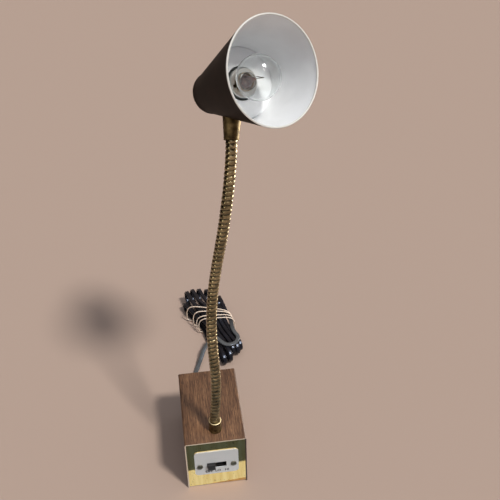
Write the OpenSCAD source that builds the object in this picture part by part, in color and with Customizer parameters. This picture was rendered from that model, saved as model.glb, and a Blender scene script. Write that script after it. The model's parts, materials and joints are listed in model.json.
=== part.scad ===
// Small desk lamp: transformer base, ribbed gooseneck, conical shade and clear globe bulb.
// The origin is the centre of the base's underside. Front is -Y, right is +X, up is +Z.

/* [Base] */
// Width of the base
base_w = 60; // [54:1:90]
// Depth of the base from front edge to rear edge
base_d = 92.5; // [86:0.5:130]
// Height of the base's top above the table
base_h = 68; // [64:1:100]
// Wall of the wood-grained wrap
wrap_t = 1.2; // [1:0.1:2.5]
// Radius of the wrap's long outer edges
wrap_edge_r = 2; // [1:0.1:4]
// Width of the wrap's inward flanges
flange_w = 8; // [6:0.5:12]
// Thickness of the rubber foot pad
pad_t = 1.6; // [1:0.1:3]
// Height of the wrap's lower edge above the table
wrap_lift = 0.6; // [0.2:0.1:0.9]
// Thickness of the wrap's flanges and of the bottom plate
plate_t = 1.2; // [0.8:0.1:2]
// Thickness of the front panel and of the rear panel
panel_t = 1; // [0.8:0.1:1.5]
// Depth of the front panel behind the wrap's front edge
panel_inset = 1; // [0.8:0.1:3]
// Length of the lips that hold the panels to the bottom plate
lip_len = 10; // [8:0.5:14]
// Shank diameter of the chassis screws
chassis_screw_d = 3; // [2.5:0.1:4]
// Head diameter of the chassis screws
chassis_head_d = 5.6; // [5:0.1:6.5]

/* [Switch] */
// Width of the switch plate
plate_w = 43.4; // [42:0.2:50]
// Height of the switch plate
plate_h = 34.8; // [28:0.2:40]
// Thickness of the switch plate
switch_plate_t = 0.9; // [0.6:0.1:1.2]
// Corner radius of the switch plate
plate_corner = 4; // [2:0.5:6]
// Height of the switch plate's middle
plate_z = 36; // [32:0.5:40]
// Height of the switch's slot
slot_z = 31.8; // [30:0.1:33]
// Width of the slot
slot_w = 19.4; // [19:0.1:21]
// Height of the slot
slot_h = 8; // [7:0.1:9]
// Distance between the two plate screws
screw_gap = 33.4; // [32:0.1:36]
// Head diameter of the plate screws
plate_head_d = 5.8; // [5:0.1:6.5]
// Width of the slider's knob
knob_w = 7.6; // [6:0.1:8.4]
// Reach of the slider's knob in front of the plate
knob_reach = 3.2; // [2:0.1:5]
// Travel of the slider from off to high
knob_travel = 10; // [9:0.1:10.4]
// Depth of the switch body behind the panel
switch_depth = 9; // [8:0.5:11]

/* [Transformer] */
// Room on each side between the base's outside and the transformer's core
core_room = 9; // [8.5:0.5:11]
// Height of the transformer's core
core_h = 35; // [32:0.5:38]
// Thickness of the stack of core plates
core_stack = 24; // [18:0.5:28]
// Width of the core's middle leg
core_leg = 14; // [12:0.5:16]
// Distance of the transformer behind the base's middle
core_y = 10; // [6:0.5:12]
// Thickness of the strap over the core
strap_t = 1.2; // [1:0.1:1.5]

/* [Neck] */
// Outer diameter of the ribbed neck
neck_d = 9.66; // [9.4:0.02:10]
// Distance from one rib to the next
rib_pitch = 4.2; // [4.1:0.05:4.6]
// Width of one rib
rib_w = 2.5; // [2.2:0.1:2.6]
// Depth of the grooves between the ribs
groove = 0.93; // [0.8:0.01:1]
// Diameter of the bore for the lamp leads
neck_bore = 4; // [3.8:0.1:4.2]
// Radius of the ball at each link's lower end
ball_r = 3.4; // [3.3:0.02:3.42]
// Clearance between a ball and its cup
ball_gap = 0.2; // [0.12:0.01:0.24]
// Place of the neck to the right of the base's middle
neck_x = 1.5; // [-4:0.5:4]
// Distance of the neck in front of the base's middle
neck_front = 30.7; // [28:0.1:32]
// Outer diameter of the lower ferrule
ferrule_d = 12.5; // [12.2:0.1:14]
// Height of the lower ferrule
ferrule_h = 13.5; // [11:0.5:16]
// Wall of the lower ferrule
ferrule_wall = 0.8; // [0.5:0.05:0.9]
// Diameter of the threaded nipples at both ends of the neck
nipple_d = 6.8; // [6.6:0.1:7]

/* [Head] */
// Length of neck between the last bend and the upper ferrule
tip_len = 9.4; // [7:0.1:10]
// Diameter of the upper ferrule at its lower end
collar_low_d = 12.2; // [11.2:0.1:13]
// Diameter of the upper ferrule at the shade
collar_top_d = 15; // [12.6:0.1:16]
// Height of the shade's axis above the last bend
axis_h = 52; // [51:0.1:54]
// Turn of the shade about the upper ferrule
head_turn = 18.6; // [0:0.2:40]
// Radius of the shade's mouth
mouth_r = 40.6; // [38:0.1:44]
// Distance from the upper ferrule's axis to the mouth
mouth_len = 66.2; // [64:0.2:74]
// Distance from the upper ferrule's axis to the start of the rounded back
cone_back = 33.5; // [30:0.5:36]
// Radius of the cone where the rounded back starts
back_r = 17.6; // [17:0.1:19]
// Length of the rounded back
dome_len = 8; // [6:0.5:12]
// Wall of the shade
shade_wall = 0.9; // [0.6:0.1:1.2]
// Lean of the mouth's cut toward the right
mouth_side = 5; // [0:0.5:6]
// Lean of the mouth's cut toward the neck
mouth_down = 3.5; // [0:0.5:6]
// Distance from the upper ferrule's axis to the white inner disc
disc_at = 16.2; // [15:0.1:19]
// Radius of the hole in the inner disc
disc_hole_r = 13.3; // [13:0.1:15]
// Thickness of the inner disc
disc_t = 0.8; // [0.5:0.1:1]

/* [Bulb and socket] */
// Radius of the bulb's globe
globe_r = 17.4; // [16:0.1:18.5]
// Distance from the upper ferrule's axis to the globe's middle
globe_at = 42.2; // [41:0.1:45]
// Wall of the bulb's glass
glass_t = 0.7; // [0.5:0.1:0.8]
// Radius of the bulb's metal cap
cap_r = 7.5; // [7.3:0.05:7.5]
// Length of the bulb's metal cap
cap_len = 17; // [16:0.5:18]
// Radius of the socket's front flange
socket_r = 12; // [11:0.1:12.6]
// Length of the skirt behind the front flange
skirt_len = 8; // [6:0.5:9]
// Wall of the socket tube
socket_wall = 0.8; // [0.6:0.05:1]
// Clearance between the bulb's cap and the socket tube
cap_gap = 0.25; // [0.15:0.05:0.4]

/* [Cord] */
// Width of the flat twin cord
cord_w = 5; // [4.6:0.1:5.2]
// Thickness of the flat twin cord
cord_t = 2.6; // [2.4:0.1:2.8]
// Sideways step from one loop of the hank to the next at the waist
hank_step = 5.6; // [5.55:0.05:5.7]
// Height of the hank's middle loops above its lower runs
hank_high = 22; // [20:0.5:23]
// Thickness and width of the elastic ties
tie_t = 1.2; // [1:0.1:1.3]

/* [Hidden] */

fine = 64;
eps = 0.01;
touch = 0.05;

// Base, worked out
inner_w = base_w - 2 * wrap_t;
inner_top = base_h - wrap_t;
flange_z = pad_t;
floor_z = flange_z + plate_t;
deck_z = floor_z + plate_t;
panel_y = -base_d / 2 + panel_inset;
rear_y = base_d / 2 - panel_inset;
deck_d = 2 * (rear_y - panel_t - touch);
plate_face_y = panel_y - switch_plate_t;
chassis_x = base_w / 2 - wrap_t - flange_w / 2;
chassis_y = base_d / 2 - panel_inset - panel_t - lip_len / 2;
head_t = 1.1;
screw_play = 0.2;

// Switch, worked out
knob_rest_x = -slot_w / 2 + 0.6 + knob_w / 2;
knob_h = slot_h - 1.2;
body_w = slot_w + 5;
body_h = slot_h + 4;
body_wall = 1;
ear_w = screw_gap + 8;
switch_z = slot_z;

// Transformer, worked out
core_w = base_w - 2 * core_room;
yoke = core_leg / 2;
window_w = (core_w - 2 * yoke - core_leg) / 2;
window_h = core_h - 2 * yoke;
coil_gap = 0.3;
core_z = deck_z + core_h / 2;
foot_len = (inner_w - core_w) / 2 - strap_t - 0.6;

// Neck, worked out
neck_r = neck_d / 2;
groove_r = neck_r - groove;
ribs_per_link = 5;
link_len = ribs_per_link * rib_pitch;
link_count = 13;
end_gap = (rib_pitch - rib_w) / 2;
cup_r = ball_r + ball_gap;
bore_r = neck_bore / 2;
nipple_r = nipple_d / 2;
neck_y = -neck_front;
ferrule_floor = 2.2;
foot_z = base_h + ferrule_floor;
first_bend_z = base_h + ferrule_h + rib_pitch;
washer_t = 1;
nut_t = 3;
nut_r = 7;
nipple_drop = 6;
nipple_low_z = inner_top - washer_t - nut_t - nipple_drop;
nipple_seat = 6;

// Lean of each link back from upright and to the right, from the base to the tip
lean_back = [2, 5.5, 9.5, 12.5, 13.5, 12.5, 9.5, 6.5, 3.5, 3.5, 7.5, 14.5, 23, 35.6];
lean_side = [5, 3.5, 0, -1.5, 0.5, 4.5, 7.5, 10, 11, 10.5, 9.5, 9.5, 8.5, 7.5];

function lean(b, s) = [cos(b) * sin(s), sin(b), cos(b) * cos(s)];
function bend_point(i) =
  i == 0 ? [neck_x, neck_y, first_bend_z]
         : bend_point(i - 1) + link_len * lean(lean_back[i - 1], lean_side[i - 1]);

// Head, worked out. Along the shade's axis, t runs from the upper ferrule's axis to the mouth.
cone_slope = (mouth_r - back_r) / (mouth_len + cone_back);
function shell_r(t) = back_r + cone_slope * (t + cone_back);
dome_steps = 10;
function dome(r, len, power) = [for (i = [0:dome_steps])
  let (a = 90 - 90 * i / dome_steps)
  [r * pow(cos(a), power), -cone_back - len * pow(sin(a), power)]];
dome_power = 0.55;
mouth_spare = 8;
nipple_top = axis_h - 14.5;
collar_seat = 7.5;
foot_plate_z = axis_h - 19.5;
collar_bury = 3;
bracket_t = 1.2;
bracket_w = 15;
bracket_front = 6.5;
disc_skirt = 5;
glass_neck_r = cap_r - 0.65;
cap_front = globe_at - globe_r - 2.8;
cap_back = cap_front - cap_len;
bead_t = 1.4;
button_t = 1;
pin_reach = 1.3;
pin_r = 0.9;
pin_at = cap_back + 4.5;
tube_in_r = cap_r + cap_gap;
tube_out_r = tube_in_r + socket_wall;
socket_front = disc_at + 3;
socket_back = -7.6;
slot_turn = 25;
slot_gap = 0.35;
insulator_t = 3;
plunger_at = cap_back - bead_t - button_t;
plunger_t = 1.4;
spring_low = socket_back + insulator_t;
spring_high = plunger_at - plunger_t;
spring_turns = 3;
spring_r = 3.2;
spring_wire = 0.6;
stem_tip = globe_at - 5;
filament_at = globe_at + 2;

// Cord, worked out. The hank's own frame has x across it and y along it.
hank_at = [21, 178, 0];
hank_turn = 13;
hank_low = cord_t / 2 + 0.6;
hank_waist = 38;
waist_y = 8;
waist_low = 1.6;
loop_rings = 24;
hank_first = 0.15;
hank_last = 5.71;

// Lanes of the hank from right to left: places across it and reaches along it
near_x = [18, 16.2, 10.5, 4.8, -1.9, -9.9, -16.6];
waist_x = [for (q = [0:6]) 16.6 - q * hank_step];
far_x = [18.4, 6.6, -2.5, -10.6, -17.9, -24.8, -25];
near_reach = [43, 43, 47, 47, 55.5, 58, 58];
far_reach = [36, 49.5, 52, 54, 55.5, 44, 44];
near_high = [15.5, 12.5, 14.5, 14.5, 14.5, 13, 13];
waist_high = [0.66, 0.84, 0.98, 1, 0.87, 0.5, 0.5] * hank_high;
far_high = [14, 18, 19.5, 19.5, 17.5, 10, 10];
relief_len = 22;
relief_hole_z = 14;
cord_x = -15;
cord_y = rear_y + relief_len;
plug_len = 26;
plug_w = 19;
plug_h = 13;
plug_corner = 3.5;
blade_len = 16;
blade_seat = 5;
blade_gap = 12.7;
blade_t = 1.5;
blade_w = 6.3;
plug_at = [11.5, 96, 0];

// Free stretches of the cord, on the table's own coordinates
lead_route = [
  [cord_x, cord_y, relief_hole_z], [cord_x, cord_y + 6, relief_hole_z], [-14.8, 83, 10.5],
  [-13.8, 92, 6], [-11.7, 101, 3.4], [-8.6, 109.5, 3], [-4.7, 118.5, 4.8], [-0.8, 127, 7.6],
  [3, 134.5, 11], [8.2, 140.2, 14.8], [13, 144.2, 18.8], [17.8, 143.6, 20.2], [22, 139, 19.8],
  [26.6, 133, 19.4], [32.6, 130.2, 19.2], [39.4, 131.6, 19.2], [44, 137, 19.4],
  [44.6, 143.6, 19.4], [42, 150, 19], [40, 160, 18.6]];
tail_bend = [[13.4, 136, 1.9], [12.5, 126, 1.9], [11.8, 116, 2.1], [11.5, 108, 3.6]];

function unit(v) = v / norm(v);
function clamp01(v) = max(0, min(1, v));
function ease(v) = let (c = clamp01(v)) c * c * (3 - 2 * c);
function turn_z(p, a) = [p[0] * cos(a) - p[1] * sin(a), p[0] * sin(a) + p[1] * cos(a), p[2]];
function pick(list, q) = let (k = min(len(list) - 2, floor(q)))
  list[k] + (q - k) * (list[k + 1] - list[k]);
function blend(a, b, v) = a + (b - a) * ease(v);

// One point of the hank: t counts loops, the upper runs go away from the base
function waist(y) = 1 / (1 + pow((y - waist_y) / hank_waist, 4));
function lane_x(q, y) = y < -11 ? blend(pick(near_x, q), pick(waist_x, q), (y + 52) / 40)
  : blend(pick(waist_x, q), pick(far_x, q), (y + 10) / 55);
function lane_high(q, y) = y < 14
  ? blend(pick(near_high, q), pick(waist_high, q), (y + 12) / 26)
  : blend(pick(waist_high, q), pick(far_high, q), (y - 14) / 34);
function hank_local(t) =
  let (k = floor(t), u = t - k,
       yn = -near_reach[u < 0.5 ? k : k + 1], yf = far_reach[k],
       run = u < 0.3 ? yn + (yf - yn) * u / 0.3
           : u < 0.5 ? yf
           : u < 0.8 ? yf + (yn - yf) * (u - 0.5) / 0.3 : yn,
       q = u < 0.5 ? k : k + ease((34 - run) / 76),
       low = hank_low + waist_low * waist(run),
       high = lane_high(q, run), r = high / 2,
       a = u < 0.5 ? 180 * (u - 0.3) / 0.2 : 180 * (u - 0.8) / 0.2,
       y = u < 0.3 ? run : u < 0.5 ? run + r * sin(a) : u < 0.8 ? run : run - r * sin(a),
       z = u < 0.3 ? low + high : u < 0.5 ? low + r + r * cos(a)
         : u < 0.8 ? low : low + r - r * cos(a))
  [lane_x(q, y), y, z];
function hank_point(t) = hank_at + turn_z(hank_local(t), hank_turn);
hank_steps = round((hank_last - hank_first) * loop_rings);
hank_path = [for (i = [0:hank_steps])
  hank_point(hank_first + (hank_last - hank_first) * i / hank_steps)];
hank_side = [cos(hank_turn), sin(hank_turn), 0];
hank_start = hank_path[0];
hank_start_dir = unit(hank_path[1] - hank_path[0]);
hank_end = hank_path[hank_steps];
hank_end_dir = unit(hank_path[hank_steps] - hank_path[hank_steps - 1]);
lead_path = concat(lead_route, [hank_start - 2 * cord_w * hank_start_dir, hank_start]);
tail_path = concat([hank_end, hank_end + cord_w * hank_end_dir], tail_bend,
                   [[plug_at[0], plug_at[1] + cord_w, plug_h / 2],
                    [plug_at[0], plug_at[1], plug_h / 2]]);

function length_of(p) = len(p) < 2 ? 0
  : [for (i = 0, s = 0; i < len(p); s = s + (i + 1 < len(p) ? norm(p[i + 1] - p[i]) : 0),
          i = i + 1) s][len(p) - 1];
cord_length = length_of(lead_path) + length_of(hank_path) + length_of(tail_path);

// Least gap of the hank to itself, taken at rings more than half a loop apart
function pair_gap(i, j) =
  let (d = hank_path[j] - hank_path[i], t = ring_dir(hank_path, i),
       s = unit(hank_side - (hank_side * t) * t), n = cross(t, s))
  max(abs(d * s) - cord_w, abs(d * n) - cord_t, abs(d * t) - 3 * cord_t);
hank_gap = min([for (i = [0:hank_steps]) for (j = [i + loop_rings / 2:1:hank_steps])
                  pair_gap(i, j)]);

// Rings of a tube along a path: half width along the side, half thickness across it
function ring_dir(p, i) =
  i == 0 ? unit(p[1] - p[0])
         : i == len(p) - 1 ? unit(p[i] - p[i - 1]) : unit(unit(p[i + 1] - p[i]) + unit(p[i] - p[i - 1]));
function ring(c, d, side, w, t, sides) =
  let (s = unit(side - (side * d) * d), n = cross(d, s))
  [for (k = [0:sides - 1]) c + w * cos(360 * k / sides) * s + t * sin(360 * k / sides) * n];
function level_side(d) = unit([-d[1], d[0], 0]);

module tube(path, w, t, sides, side = undef) {
  rings = [for (i = [0:len(path) - 1])
    let (d = ring_dir(path, i))
    ring(path[i], d, is_undef(side) ? -level_side(d) : side, w, t, sides)];
  points = [for (r = rings) for (p = r) p];
  last = (len(path) - 1) * sides;
  wall = [for (i = [0:len(path) - 2]) for (k = [0:sides - 1])
    let (a = i * sides + k, b = i * sides + (k + 1) % sides, c = a + sides, d = b + sides)
    each [[a, c, b], [b, c, d]]];
  ends = [for (k = [1:sides - 2])
    each [[0, k, k + 1], [last, last + k + 1, last + k]]];
  polyhedron(points, concat(wall, ends));
}

// Flat shapes
module rounded_rect(w, h, r) {
  square([w - 2 * r, h], center = true);
  square([w, h - 2 * r], center = true);
  for (x = [-1, 1], y = [-1, 1])
    translate([x * (w / 2 - r), y * (h / 2 - r)]) circle(r = r, $fn = fine);
}

// A flat shape stood up to face the front, t thick behind the plane y
module facing(y, t) translate([0, y + t, 0]) rotate([90, 0, 0]) linear_extrude(t) children();

module upright(r, h, z = 0) translate([0, 0, z]) cylinder(r = r, h = h, $fn = fine);
module across_y(r, len) rotate([-90, 0, 0]) cylinder(r = r, h = len, $fn = fine);

// Base
module chassis_places() for (x = [-1, 1], y = [-1, 1])
  translate([x * chassis_x, y * chassis_y, 0]) children();

module foot_pad() color("#201d1b") difference() {
  pad_w = inner_w - 0.4;
  translate([-pad_w / 2, -deck_d / 2, 0]) cube([pad_w, deck_d, pad_t]);
  chassis_places() upright(chassis_head_d / 2 + screw_play, pad_t + 2, -1);
}

module bottom_plate() color("#8d8f90") difference() {
  translate([-inner_w / 2 + touch, -deck_d / 2, floor_z])
    cube([inner_w - 2 * touch, deck_d, plate_t]);
  chassis_places() upright(chassis_screw_d / 2 + screw_play, plate_t + 2, floor_z - 1);
  strap_places() upright(strap_screw_r + screw_play, plate_t + 2, floor_z - 1);
}

module wrap_outline() difference() {
  translate([0, (base_h + wrap_lift) / 2]) {
    rounded_rect(base_w, base_h - wrap_lift, wrap_edge_r);
    translate([-base_w / 2, -(base_h - wrap_lift) / 2]) square([base_w, wrap_edge_r]);
  }
  translate([-inner_w / 2, floor_z]) square([inner_w, inner_top - floor_z]);
  translate([-inner_w / 2, wrap_lift - 1]) square([inner_w, flange_z - wrap_lift + 1]);
  translate([-inner_w / 2 + flange_w, 0]) square([inner_w - 2 * flange_w, base_h / 2]);
}

module base_wrap() color("#6e4a32") difference() {
  facing(-base_d / 2, base_d) wrap_outline();
  translate([neck_x, neck_y, 0]) upright(nipple_r + screw_play, wrap_t + 2, inner_top - 1);
  chassis_places() upright(chassis_screw_d / 2 + screw_play, plate_t + 2, flange_z - 1);
  // The flanges stop behind the panels, which reach down to the wrap's lower edge
  for (turn = [0, 180]) rotate([0, 0, turn])
    translate([-inner_w / 2, deck_d / 2, flange_z - 1]) cube([inner_w, base_d / 2, plate_t + 2]);
}

// A panel that covers the open end of the wrap: dir is 1 for the front and -1 for the rear
module panel(y, dir) {
  panel_w = inner_w - 2 * touch;
  translate([-panel_w / 2, dir > 0 ? y : y - panel_t, wrap_lift])
    cube([panel_w, panel_t, inner_top - wrap_lift - touch]);
  difference() {
    translate([-panel_w / 2, dir > 0 ? y : y - lip_len - panel_t, deck_z])
      cube([panel_w, lip_len + panel_t, panel_t]);
    chassis_places() upright(chassis_screw_d / 2 + screw_play, panel_t + 2, deck_z - 1);
  }
}

module front_panel() color("#b3934f") difference() {
  panel(panel_y, 1);
  translate([-slot_w / 2, panel_y - 1, slot_z - slot_h / 2]) cube([slot_w, panel_t + 2, slot_h]);
  for (x = [-1, 1]) translate([x * screw_gap / 2, panel_y - 1, slot_z])
    across_y(plate_screw_r + screw_play, panel_t + 2);
}

module rear_panel() color("#4a3526") difference() {
  panel(rear_y, -1);
  translate([cord_x, rear_y - panel_t - 1, relief_hole_z])
    across_y(relief_neck_r + touch, panel_t + 2);
}

module chassis_screws() color("#9a9c9c") chassis_places() {
  upright(chassis_screw_d / 2, deck_z + panel_t + 1 - flange_z + eps, flange_z - eps);
  difference() {
    upright(chassis_head_d / 2, head_t, flange_z - head_t);
    translate([-chassis_head_d / 2, -0.4, flange_z - head_t - 0.1])
      cube([chassis_head_d, 0.8, 0.6]);
  }
}

// Switch
plate_screw_r = 1.4;
plate_head_t = 1;

module switch_plate() color("#bcbab6") difference() {
  facing(plate_face_y, switch_plate_t)
    translate([0, plate_z]) rounded_rect(plate_w, plate_h, plate_corner);
  translate([-slot_w / 2, plate_face_y - 1, slot_z - slot_h / 2])
    cube([slot_w, switch_plate_t + 2, slot_h]);
  for (x = [-1, 1]) translate([x * screw_gap / 2, plate_face_y - 1, slot_z])
    across_y(plate_screw_r + screw_play, switch_plate_t + 2);
}

module plate_screws() color("#a8a49c") for (x = [-1, 1])
  translate([x * screw_gap / 2, plate_face_y, slot_z]) {
    translate([0, -touch, 0]) across_y(plate_screw_r, switch_plate_t + panel_t + body_wall + 1.5);
    translate([0, -plate_head_t - touch / 2, 0]) difference() {
      across_y(plate_head_d / 2, plate_head_t);
      translate([-plate_head_d / 2, -0.1, -0.4]) cube([plate_head_d, 0.6, 0.8]);
    }
  }

body_back_y = panel_y + panel_t + switch_depth;
carriage_w = knob_w + 3;
carriage_t = 2;

module switch_body() color("#77797b") difference() {
  union() {
    translate([-ear_w / 2, panel_y + panel_t, slot_z - body_h / 2])
      cube([ear_w, body_wall, body_h]);
    translate([-body_w / 2, panel_y + panel_t, slot_z - body_h / 2])
      cube([body_w, switch_depth, body_h]);
  }
  translate([-body_w / 2 + body_wall, panel_y + panel_t + body_wall, slot_z - body_h / 2 + body_wall])
    cube([body_w - 2 * body_wall, switch_depth - 2 * body_wall, body_h - 2 * body_wall]);
  translate([-slot_w / 2, panel_y + panel_t - 1, slot_z - slot_h / 2])
    cube([slot_w, body_wall + 2, slot_h]);
  for (x = [-1, 1]) translate([x * screw_gap / 2, panel_y, slot_z])
    across_y(plate_screw_r + screw_play, panel_t + body_wall + 1);
  for (x = terminal_x) translate([x - terminal_w / 2 - touch, body_back_y - body_wall - 1,
                                 slot_z - terminal_t / 2 - touch])
    cube([terminal_w + 2 * touch, body_wall + 2, terminal_t + 2 * touch]);
}

module switch_slider() color("#2a2422") {
  translate([knob_rest_x - knob_w / 2, plate_face_y - knob_reach, slot_z - knob_h / 2])
    cube([knob_w, knob_reach + switch_plate_t + panel_t + body_wall + 0.3 + eps, knob_h]);
  translate([knob_rest_x - carriage_w / 2, panel_y + panel_t + body_wall + 0.3,
             slot_z - knob_h / 2 - 0.8])
    cube([carriage_w, carriage_t, knob_h + 1.6]);
}

terminal_x = [-8, 0, 8];
terminal_w = 3;
terminal_t = 0.8;
terminal_len = 6;

module switch_terminals() color("#c9a252") for (x = terminal_x)
  translate([x - terminal_w / 2, body_back_y - body_wall - 1.5, slot_z - terminal_t / 2])
    cube([terminal_w, terminal_len, terminal_t]);

// Transformer
strap_screw_r = 1.5;
module strap_places() for (x = [-1, 1])
  translate([x * (core_w / 2 + strap_t + foot_len / 2), core_y, 0]) children();

module transformer_core() color("#5b5c5e")
  facing(core_y - core_stack / 2, core_stack) translate([0, core_z]) difference() {
    square([core_w, core_h], center = true);
    for (x = [-1, 1]) translate([x * (core_leg + window_w) / 2, 0])
      square([window_w, window_h], center = true);
  }

module transformer_coil() color("#8a5a33") difference() {
  coil_w = core_leg + 2 * window_w - 2 * coil_gap;
  coil_d = core_stack + 2 * (window_w - coil_gap);
  coil_h = window_h - 2 * coil_gap;
  translate([0, core_y, core_z]) {
    linear_extrude(coil_h, center = true) rounded_rect(coil_w, coil_d, 2);
  }
  translate([-core_leg / 2 - touch, core_y - core_stack / 2 - touch, core_z - coil_h])
    cube([core_leg + 2 * touch, core_stack + 2 * touch, 2 * coil_h]);
}

module transformer_strap() color("#83868a") difference() {
  strap_d = core_stack - 6;
  top_z = deck_z + core_h + touch;
  union() {
    difference() {
      translate([-core_w / 2 - strap_t, core_y - strap_d / 2, deck_z])
        cube([core_w + 2 * strap_t, strap_d, top_z + strap_t - deck_z]);
      translate([-core_w / 2 - touch, core_y - strap_d / 2 - 1, deck_z - 1])
        cube([core_w + 2 * touch, strap_d + 2, top_z - deck_z + 1]);
    }
    for (x = [-1, 1]) translate([x * (core_w / 2 + strap_t + foot_len / 2 - eps), core_y, deck_z])
      translate([-foot_len / 2, -strap_d / 2, 0]) cube([foot_len, strap_d, strap_t]);
  }
  strap_places() upright(strap_screw_r + screw_play, strap_t + 2, deck_z - 1);
}

module strap_screws() color("#9a9c9c") strap_places() {
  upright(strap_screw_r, strap_t + plate_t + eps, floor_z);
  upright(foot_len / 2 - 0.1, 1.4, deck_z + strap_t);
}

// Insulated leads between cord, switch, transformer and neck
lead_r = 0.8;
relief_body_r = 5;
relief_neck_r = 3.6;
relief_flange_t = 2;
lead_drop = 13.2;
module wire(path, side) tube(path, lead_r, lead_r, 6, side);

module base_leads() color("#3a3a3c") {
  gland = [cord_x, rear_y - panel_t - relief_flange_t, relief_hole_z];
  over_z = max(deck_z + core_h + strap_t + 3, nipple_low_z - lead_drop);
  side_x = core_w / 2 - 3;
  front_y = core_y - core_stack / 2 - 4;
  for (s = [-1, 1]) {
    term = [s * terminal_x[2], body_back_y - body_wall - 1.5 + terminal_len, slot_z];
    wire([gland + [s, 0, 0], gland + [s, -3, 0], [cord_x + 2 * s, rear_y - relief_body_r - 7, core_z],
          [cord_x + 3 * s, core_y + core_stack / 2 + 4, over_z], [s * side_x, core_y, over_z],
          [s * (side_x - 2), front_y, over_z - 2], term + [0, 6, 2], term + [0, 2.5, 0],
          term], [0.3, 0.1, 1]);
  }
  coil_front = core_y - core_stack / 2 - window_w + coil_gap;
  wire([[4, coil_front, core_z + 4], [4, coil_front - 3, core_z + 4],
        [neck_x + 6, neck_y + 8, core_z + 14], [neck_x + 2.5, neck_y + 1, nipple_low_z - 9],
        [neck_x, neck_y, nipple_low_z - 3], [neck_x, neck_y, nipple_low_z - 0.3]], [1, 0.2, 0]);
}

module strain_relief() color("#1d1b1a") difference() {
  translate([cord_x, 0, relief_hole_z]) {
    translate([0, rear_y - panel_t - relief_flange_t, 0]) across_y(relief_body_r, relief_flange_t);
    translate([0, rear_y - panel_t - eps, 0]) across_y(relief_neck_r, panel_t + 2 * eps);
    translate([0, rear_y, 0]) rotate([-90, 0, 0])
      cylinder(r1 = relief_body_r, r2 = 3.2, h = relief_len, $fn = fine);
  }
  translate([cord_x, rear_y - panel_t - relief_flange_t - 1, relief_hole_z])
    rotate([-90, 0, 0]) linear_extrude(relief_len - 6) rounded_rect(cord_w, cord_t, cord_t / 2 - 0.01);
}

// Neck
module at_neck() translate([neck_x, neck_y, 0]) children();

module base_ferrule() color("#9c7c42") at_neck() rotate_extrude($fn = fine) polygon([
  [nipple_r + touch, base_h], [ferrule_d / 2 - 0.4, base_h], [ferrule_d / 2, base_h + 0.4],
  [ferrule_d / 2, base_h + ferrule_h - 0.3], [ferrule_d / 2 - 0.3, base_h + ferrule_h],
  [ferrule_d / 2 - ferrule_wall, base_h + ferrule_h],
  [ferrule_d / 2 - ferrule_wall, base_h + ferrule_floor],
  [nipple_r + touch, base_h + ferrule_floor]]);

module thread_tube(low, high, bore) difference() {
  upright(nipple_r, high - low, low);
  upright(bore, high - low + 2, low - 1);
}

module neck_nipple() color("#a58a4e") at_neck()
  thread_tube(nipple_low_z, foot_z + nipple_seat - 0.3, bore_r + 0.2);

module ring_washer(low, t, out, hole) difference() {
  upright(out, t, low);
  upright(hole, t + 2, low - 1);
}

module hex_nut(low) difference() {
  translate([0, 0, low]) cylinder(r = nut_r, h = nut_t, $fn = 6);
  upright(nipple_r + touch, nut_t + 2, low - 1);
}

module neck_washer() color("#8f9294") at_neck()
  ring_washer(inner_top - washer_t, washer_t, nut_r, nipple_r + touch);

module neck_nut() color("#b09350") at_neck() hex_nut(inner_top - washer_t - nut_t);

rib_steps = 6;
ball_steps = 8;
function rib(zc) = [for (i = [0:rib_steps])
  let (a = -90 + 180 * i / rib_steps)
  [groove_r + groove * cos(a), zc + rib_w / 2 * sin(a)]];
function arc(r, zc, a0, a1) = [for (i = [0:ball_steps])
  let (a = a0 + (a1 - a0) * i / ball_steps) [r * cos(a), zc + r * sin(a)]];
function ball_low() = -acos(bore_r / ball_r);
function ball_high() = asin(end_gap / ball_r);
function cup_high() = -asin(end_gap / cup_r);
function cup_low() = -acos(bore_r / cup_r);
function ribs(n, from) = [for (i = [0:n - 1]) each rib(from + (i + 0.5) * rib_pitch)];
cup_profile = arc(cup_r, 0, cup_high(), cup_low());
function lifted(p, z) = [for (q = p) q + [0, z]];

module link_body() rotate_extrude($fn = fine) polygon(concat(
  arc(ball_r, 0, ball_low(), ball_high()), [[groove_r, end_gap]],
  ribs(ribs_per_link, 0), lifted(cup_profile, link_len)));

module at_link(i) translate(bend_point(i)) rotate([-lean_back[i], lean_side[i], 0]) children();

module neck_link(i) color("#7d6a3e") at_link(i - 1) link_body();

foot_ribs = 3;
module neck_foot() color("#7d6a3e") at_neck() {
  low = foot_z - first_bend_z;
  seat = low + nipple_seat;
  translate([0, 0, first_bend_z]) rotate_extrude($fn = fine) polygon(concat(
    [[nipple_r + touch, low], [groove_r, low]],
    ribs(foot_ribs, -foot_ribs * rib_pitch), cup_profile,
    [[bore_r, seat + 0.5], [bore_r, seat], [nipple_r + touch, seat]]));
}

tip_ribs = 3;
tip_top = tip_len + collar_seat;
tip_counter = 3.5;
module neck_tip() color("#7d6a3e") at_link(link_count) rotate_extrude($fn = fine) polygon(concat(
  arc(ball_r, 0, ball_low(), ball_high()), [[groove_r, end_gap]], ribs(tip_ribs, 0),
  [[groove_r, tip_top], [nipple_r + touch, tip_top], [nipple_r + touch, tip_top - tip_counter],
   [bore_r, tip_top - tip_counter]]));

// Two leads through the neck, straight in each link
lead_gap = 0.85;
neck_lead_r = 0.7;
lead_line = concat([[neck_x, neck_y, nipple_low_z], [neck_x, neck_y, foot_z]],
                   [for (i = [0:link_count]) bend_point(i)],
                   [bend_point(link_count) + nipple_top * lean(lean_back[link_count], lean_side[link_count])]);
module neck_leads() color("#232325") for (s = [-1, 1])
  tube([for (p = lead_line) p + [s * lead_gap, 0, 0]], neck_lead_r, neck_lead_r, 6, [1, 0, 0]);

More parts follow.
